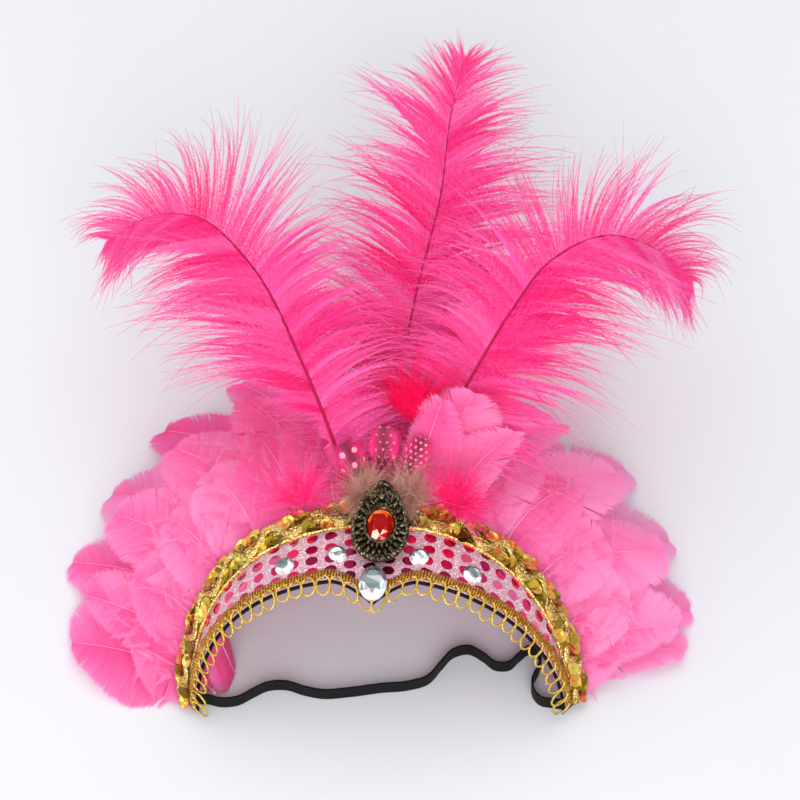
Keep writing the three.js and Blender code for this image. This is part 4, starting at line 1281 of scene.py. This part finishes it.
def fan_fluff(table, rng, strands=170):
    """Loose soft barbs that lie over a fan's feathers and blur their edges."""
    k = np.linspace(0, 1, 8)
    each = (strands, 1)
    start = rng.uniform(0.0, 0.55, each)
    reach = start + rng.uniform(0.12, 0.25, each) * k
    place = rng.uniform(-0.02, 1.02, each) + rng.normal(0, 0.06, each) * k
    place = place + rng.normal(0, 0.03, each) * k**2
    height = -1.0 + 14.0 * reach + rng.uniform(-1.0, 2.5, each) * (0.4 + 0.6 * k)
    lines = fan_middle(table, place, reach) + fan_over(table, place, reach) * height[..., None]
    lines[..., 2] = np.maximum(lines[..., 2], 0.6)
    tone = np.clip(rng.normal(0.55, 0.1, strands), 0.3, 0.9)
    return strand_parts(lines, 0.09, 30, rng.uniform(3.0, 5.5, strands), rng, tone, taper=0.85)


class HEADBAND_OT_goose(bpy.types.Operator):
    """Makes the goose feathers of both fans"""

    bl_idname = "headband.goose"
    bl_label = "Goose feathers"

    def execute(self, context):
        feathers = context.scene.headband_feathers
        stops = [
            (0.0, "#FFC0E2"), (0.06, "#FFA8D6"), (0.12, "#FF5CAE"), (0.35, "#FF76BE"), (0.55, feathers.goose),
            (1.0, "#FFC4E8"),
        ]
        dyed = feather_material("Dyed goose feather", stops, 0.52)
        numbers = {}
        for fan, surface, half, depth, rng in each_goose(GOOSE_FEATHERS, GOOSE_DEPTHS, GOOSE_INSIDE, "goose"):
            numbers[fan] = numbers.get(fan, 0) + 1
            name = f"{fan}_{numbers[fan]}"
            parts = blade_parts(surface, half, rng, feathers.blade_barbs, depth=depth)
            show_parts(f"goose_blade_{name}", parts, dyed, "goose_feather", [f"goose_{name}"])
        for index, (root, tip, half) in enumerate(INNER_FEATHERS):
            surface = flat_surface(root, np.subtract(tip, root), half, INNER_RISE)
            rng = draws("inner", index)
            parts = blade_parts(
                surface, half, rng, INNER_BARBS, INNER_DOWN, COVERT_OUTLINE, depth=INNER_DEPTH
            )
            show_parts(f"goose_inner_{index}", parts, dyed, "goose_feather")
        for index, fan in enumerate(("left", "right")):
            parts = fan_fluff(FANS[fan], draws("fluff", index))
            show_parts(f"goose_fluff_{fan}", parts, dyed, "goose_feather")
        barbs = feathers.blade_barbs * 2 // 3
        coverts = each_goose(COVERTS, COVERT_DEPTHS, COVERT_INSIDE, "coverts")
        for index, (fan, surface, half, depth, rng) in enumerate(coverts):
            parts = blade_parts(surface, half, rng, barbs, COVERT_DOWN, COVERT_OUTLINE, COVERT_SWEEP, depth)
            show_parts(f"goose_covert_{fan}_{index}", parts, dyed, "goose_feather")
        return {"FINISHED"}


# Spotted feathers behind the brooch.

GUINEA_LENGTH, GUINEA_HALF, GUINEA_RISE = 24.0, 5.5, 3.0
GUINEA_BARBS, GUINEA_DOWN, GUINEA_SWEEP = 100, 60, 0.3
GUINEA_FEATHERS = [  # side, root, direction, pitch of the spots, radius of a spot
    ("left", (-6, 71, 82), (-0.55, 0.9, 0.45), 6.4, 1.4),
    ("centre", (0.5, 75, 85), (0.05, 0.95, 0.4), 3.4, 0.4),
    ("right", (9, 73, 83), (0.5, 0.85, 0.4), 2.7, 0.6),
]


class HEADBAND_OT_guinea(bpy.types.Operator):
    """Makes the spotted guinea fowl feathers"""

    bl_idname = "headband.guinea"
    bl_label = "Guinea feathers"

    def execute(self, context):
        spotted = guinea_material("Dyed guinea feather", "#7E0C38", "#EE1E7A", "#F8A6B8")
        for index, (side, root, direction, pitch, spot) in enumerate(GUINEA_FEATHERS):
            rng = draws("guinea", index)
            forward = unit(np.array(direction, float))
            wide = unit(np.cross(forward, UP))
            surface = flat_surface(root, forward * GUINEA_LENGTH, GUINEA_HALF, GUINEA_RISE)
            dotted = []
            blade = blade_parts(surface, GUINEA_HALF, rng, GUINEA_BARBS, GUINEA_DOWN, sweep=GUINEA_SWEEP)
            for points, triangles, _ in blade:
                flat = points - np.array(root, float)
                a, b = flat @ forward, flat @ wide
                edge = 0.42 * np.clip(np.abs(b) / GUINEA_HALF + rng.normal(0, 0.1, len(b)), 0, 1) ** 2
                row = np.round(a / pitch)
                b = b + pitch / 2 * (row % 2)
                near = np.hypot(a - row * pitch, b - pitch * np.round(b / pitch))
                dotted.append((points, triangles, np.where(near < spot, 1.0, edge)))
            show_parts(f"guinea_blade_{side}", dotted, spotted, "guinea_feather", [f"guinea_{side}"])
        return {"FINISHED"}


# Marabou and down tufts.

TUFT_KINDS = {  # slot, material, light let through, scatter of the roots, barbule's half base, colours
    "marabou": (
        "marabou", "Dyed marabou", 0.35, 1.4, 0.05,
        [(0.0, "#F8045A"), (0.25, "#FF0A6C"), (0.6, "#FF2E90"), (1.0, "#FF6AB4")],
    ),
    "down": (
        "grey_down", "Natural down", 0.4, 2.6, 0.026, [(0.0, "#A8705E"), (0.5, "#CC9A86"), (1.0, "#F2DACB")],
    ),
}
TUFTS = [  # kind, node, head, first direction, half spread in degrees, strands, length, tone
    ("marabou", "marabou_left", (-36, 64, 82), (-0.1, 1, 0.25), 75, 210, 26, 0.7),
    ("marabou", "marabou_right", (33, 60, 84), (0.5, 0.55, 0.3), 80, 240, 27, 0.5),
    ("marabou", "marabou_centre", (14, 104, 96), (0.4, 0.9, 0.15), 74, 270, 31, 0.08),
    ("down", "down_left", (-7, 67, 82), (-0.25, 0.2, 0.8), 110, 420, 18, 0.5),
    ("down", "down_right", (12, 67, 81), (0.35, -0.05, 0.8), 110, 440, 19, 0.5),
]
TUFT_PITCH = 34  # degrees
TUFT_BARBULES, TUFT_BARBULE_LENGTH = 20, 3.8


class HEADBAND_OT_tufts(bpy.types.Operator):
    """Makes the marabou and grey down tufts"""

    bl_idname = "headband.tufts"
    bl_label = "Marabou and down"

    def execute(self, context):
        materials = {
            kind: feather_material(name, stops, through)
            for kind, (_, name, through, _, _, stops) in TUFT_KINDS.items()
        }
        for index, (kind, node, head, direction, spread, strands, length, depth) in enumerate(TUFTS):
            slot, _, _, scatter, fine, _ = TUFT_KINDS[kind]
            rng = draws("tufts", index)
            forward = unit(np.array(direction, float))
            aside = unit(np.cross(forward, UP))
            over = np.cross(aside, forward)
            turn = np.radians(spread) * rng.uniform(-1, 1, strands)
            pitch = np.radians(TUFT_PITCH) * rng.uniform(-0.7, 1, strands)
            way = (
                forward * (np.cos(turn) * np.cos(pitch))[:, None]
                + aside * (np.sin(turn) * np.cos(pitch))[:, None]
                + over * np.sin(pitch)[:, None]
            )
            k = np.linspace(0, 1, 6)
            size = (length * rng.uniform(0.65, 1.0, strands))[:, None]
            bend = rng.normal(0, 0.36, (strands, 3))
            lines = (
                np.array(head, float) + rng.normal(0, scatter, (strands, 3))[:, None]
                + (way * size)[:, None] * k[:, None] + (bend * size)[:, None] * (k**2)[:, None]
                - UP * (0.12 * size * k**2)[..., None]
            )
            tone = np.clip(rng.normal(depth, 0.16, strands), 0, 1)
            parts = strand_parts(
                lines, 1.5 * fine, TUFT_BARBULES, TUFT_BARBULE_LENGTH, rng, tone, taper=0.8, fine=fine
            )
            show_parts(f"tuft_{node}", parts, materials[kind], slot, [node])
        return {"FINISHED"}


# Ostrich plumes.

QUILLS = {  # x, y, z of points up each quill
    "left": [
        (-9, 47, 60), (-14.5, 76, 70), (-37, 127, 106), (-62, 176, 117), (-85, 202, 116), (-109, 213, 103),
        (-130, 211, 87), (-139, 211, 78),
    ],
    "centre": [
        (1, 47, 60), (3, 78, 69.5), (10, 140, 84), (17, 179, 90), (28, 230, 94), (34, 282, 96), (41, 318, 95),
    ],
    "right": [
        (6.5, 48, 57), (12.5, 78, 64.5), (41, 122, 96), (61, 150, 114), (78, 170, 124), (105, 186, 124),
        (129, 189, 110), (147, 185, 90), (154, 183, 76),
    ],
}
# Longest barb left and right of the quill, droop, lean of the vane and opening of the barbs in degrees,
# share of the inner side that is bare, share of the quill that shows.
PLUMES = {
    "left": (60.0, 58.0, 0.16, 16.0, 76.0, 0.34, 0.955),
    "centre": (64.0, 68.0, 0.16, 8.0, 84.0, 0.0, 1.0),
    "right": (58.0, 64.0, 0.2, 16.0, 78.0, 0.0, 0.95),
}
BARB_LENGTH = {  # share up the quill, share of the longest barb, on the outer and inner side of its bend
    "outer": (
        (0.0, 0.4), (0.2, 0.75), (0.35, 0.96), (0.5, 1.0), (0.7, 1.0), (0.85, 0.85), (0.94, 0.6), (1.0, 0.2),
    ),
    "inner": (
        (0.0, 0.45), (0.2, 0.8), (0.35, 1.0), (0.5, 1.0), (0.65, 0.92), (0.8, 0.76), (0.92, 0.54),
        (1.0, 0.22),
    ),
}
OUTER_CURL = (  # share up the quill, and the angle at which a barb on the outer side of its bend ends
    (0.1, 0.35, 0.48, 0.58, 0.67, 0.76, 0.88, 1.0), (122, 120, 112, 94, 62, 30, 16, 16),
)
QUILL_PLACES, QUILL_RADII = 400, ((0, 0.4, 1), (1.25, 0.8, 0.22))
BARB_STEPS, BARB_CLUMPS, BARB_RADIUS = 8, 44, 0.2
TOP_OF_PLUMES, TOP_GIVE, LOWEST_BARB = 126.0, 0.45, 0.6  # over the top the barbs level out
LINED_EVERY, LINED_POINTS = 4, 6


def vane_lining(lines, face, tone):
    """The soft under side of a vane: flat strips below some of its barbs, which close it to the light."""
    shares = np.linspace(0, 1, lines.shape[1])
    aside = unit(np.cross(np.gradient(lines, axis=1), face)) * (1.5 * (1 - shares**2) + 0.05)[:, None]
    below = lines - face * (1.2 * np.minimum(1, shares * 4))[:, None]
    return *ribbons(below - aside, below + aside), np.repeat((tone[:, None] - 0.12 + 0.1 * shares).ravel(), 2)


def varied(rng, clump, by_clump, by_barb):
    """Draws that the barbs of a clump share, and each barb's own."""
    return rng.normal(0, by_clump, BARB_CLUMPS)[clump], rng.normal(0, by_barb, len(clump))


def plume_parts(points, shape, rng, barbs, barbules):
    """A plume: its quill, and on each side barbs in clumps, curled on the outer side of the quill's bend."""
    left, right, droop, lean, opening, bare, share = shape
    quill = smooth_line(points, QUILL_PLACES)
    quill = smooth_line(quill[: int(QUILL_PLACES * share) : 4], QUILL_PLACES)
    tangents = unit(np.gradient(quill, axis=0))
    lean = math.radians(lean)
    face = np.array((0.0, -math.sin(lean), math.cos(lean)))
    radii = np.interp(np.linspace(0, 1, QUILL_PLACES), *QUILL_RADII)
    parts = [(*rods(quill[None, ::5], radii[None, ::5], sides=6), 0.0)]
    r = (np.arange(BARB_STEPS) + 0.5) / BARB_STEPS
    reach = np.linalg.norm(np.diff(quill, axis=0), axis=1).sum()
    bend = np.cross(tangents[QUILL_PLACES // 3], tangents[-40]) @ face

    for side, longest in ((-1, left), (1, right)):
        outer = side * bend > 0.2
        profile = np.array(BARB_LENGTH["outer" if outer else "inner"])
        at = 0.1 + 0.898 * ((np.arange(barbs) + rng.uniform(0, 0.9, barbs)) / barbs) ** 1.3
        bounds = np.sort(rng.uniform(0.1, 1.0, BARB_CLUMPS - 1))
        clump = np.searchsorted(bounds, at)
        middles = [at[clump == c].mean() if (clump == c).any() else 0.0 for c in range(BARB_CLUMPS)]
        centre = np.array(middles)[clump]
        pull = rng.uniform(0.3, 0.95, BARB_CLUMPS)[clump]
        i = (at * (QUILL_PLACES - 1)).astype(int)
        root, forward = quill[i], tangents[i]
        aside = unit(np.cross(forward, face)) * side
        over = unit(np.cross(aside, forward)) * side
        size = longest * np.interp(at, profile[:, 0], profile[:, 1])
        if not outer:
            size = size * np.interp(at, (bare - 0.07, bare + 0.05), (0.12, 1.0))
        shared, own = varied(rng, clump, 0.13, 0.11)
        size = size * (1 + shared + own)
        loose = np.where(rng.uniform(0, 1, barbs) < 0.25, 24, 7)
        shared, own = varied(rng, clump, 9, 1)
        stray = shared + own * loose
        first = np.radians((66 if outer else 54) - 30 * at**6 + rng.normal(0, 4, barbs))
        curl = np.interp(at, *OUTER_CURL) if outer else opening + 14 - 34 * at - (opening - 48) * at**6
        last = np.radians(curl + stray)
        angle = first[:, None] + (last - first)[:, None] * r
        shared, own = varied(rng, clump, 0.5, 0.3)
        fall = droop * (1 + shared + own)
        if outer:
            fall = fall * np.interp(at, (0.3, 0.7), (1.8, 1.0))
        rise = np.clip(0.1 + rng.normal(0, 0.12, barbs), -0.3, 0.3)
        way = (
            forward[:, None] * np.cos(angle)[..., None] + aside[:, None] * np.sin(angle)[..., None]
            + over[:, None] * (rise[:, None] * (1 - 1.5 * r))[..., None]
            - UP * (fall[:, None] * 2.2 * r**1.6)[..., None]
        )
        walk = np.cumsum(unit(way) * (size[:, None] / BARB_STEPS)[..., None], axis=1)
        gather = ((centre - at) * reach * pull)[:, None] * ((r + 0.5 / BARB_STEPS) ** 1.5)
        walk = walk + forward[:, None] * gather[..., None]
        lines = np.concatenate((root[:, None], root[:, None] + walk), axis=1)
        high = TOP_GIVE * np.maximum(lines[..., 2] - TOP_OF_PLUMES, 0)
        lines[..., 2] = np.maximum(np.minimum(lines[..., 2], TOP_OF_PLUMES + high), LOWEST_BARB)
        shared, own = varied(rng, clump, 0.09, 0.07)
        tone = (0.46 if outer else 0.43) + shared + own
        lined = np.arange(0, barbs, LINED_EVERY)
        lined = lined[at[lined] < (0.6 if outer else 0.84)]
        parts.append(vane_lining(lines[lined, :LINED_POINTS], face, tone[lined]))
        fringe = (4.4 if outer else 5.0) * (size / longest) ** 0.5
        parts += strand_parts(
            lines, BARB_RADIUS, barbules, fringe, rng, np.clip(tone, 0.2, 0.9), face, 0.95,
            fall=1.2 if outer else 1.9,
        )
    return parts


class HEADBAND_OT_plumes(bpy.types.Operator):
    """Makes the three ostrich plumes"""

    bl_idname = "headband.plumes"
    bl_label = "Ostrich plumes"

    def execute(self, context):
        feathers = context.scene.headband_feathers
        stops = [
            (0.0, "#C01E50"), (0.1, "#E81874"), (0.22, "#FF2A8E"), (0.5, feathers.plume), (1.0, "#FF98D0"),
        ]
        dyed = feather_material("Dyed ostrich plume", stops, 0.35)
        for index, (side, shape) in enumerate(PLUMES.items()):
            rng = draws("plumes", index)
            parts = plume_parts(QUILLS[side], shape, rng, feathers.barbs, feathers.barbules)
            show_parts(f"plume_barbs_{side}", parts, dyed, "ostrich_plume", [f"plume_{side}"])
        return {"FINISHED"}


class HEADBAND_PT_panel(bpy.types.Panel):
    """Lists the headband's settings and the pieces that can be made"""

    bl_label = "Feather headband"
    bl_idname = "HEADBAND_PT_panel"
    bl_space_type = "VIEW_3D"
    bl_region_type = "UI"
    bl_category = "Headband"

    def draw(self, context):
        column = self.layout.column()
        for name, group in GROUPS.items():
            for key in group.__annotations__:
                column.prop(getattr(context.scene, name), key)
        for operator in OPERATORS:
            column.operator(operator.bl_idname)


GROUPS = {
    "headband_band": HeadbandBand, "headband_feathers": HeadbandFeathers, "headband_stage": HeadbandStage,
}
OPERATORS = (
    HEADBAND_OT_stage, HEADBAND_OT_strap, HEADBAND_OT_band, HEADBAND_OT_sequin_braid, HEADBAND_OT_loop_braid,
    HEADBAND_OT_stones, HEADBAND_OT_brooch, HEADBAND_OT_goose, HEADBAND_OT_guinea, HEADBAND_OT_tufts,
    HEADBAND_OT_plumes,
)


def register():
    for cls in (*GROUPS.values(), *OPERATORS, HEADBAND_PT_panel):
        bpy.utils.register_class(cls)
    for name, group in GROUPS.items():
        setattr(bpy.types.Scene, name, bpy.props.PointerProperty(type=group))


def unregister():
    for name in GROUPS:
        delattr(bpy.types.Scene, name)
    for cls in reversed((*GROUPS.values(), *OPERATORS, HEADBAND_PT_panel)):
        bpy.utils.unregister_class(cls)


def main():
    register()
    bpy.ops.headband.stage()
    bpy.ops.headband.strap()
    bpy.ops.headband.band()
    bpy.ops.headband.sequin_braid()
    bpy.ops.headband.loop_braid()
    bpy.ops.headband.stones()
    bpy.ops.headband.brooch()
    bpy.ops.headband.goose()
    bpy.ops.headband.guinea()
    bpy.ops.headband.tufts()
    bpy.ops.headband.plumes()


if __name__ == "__main__":
    main()
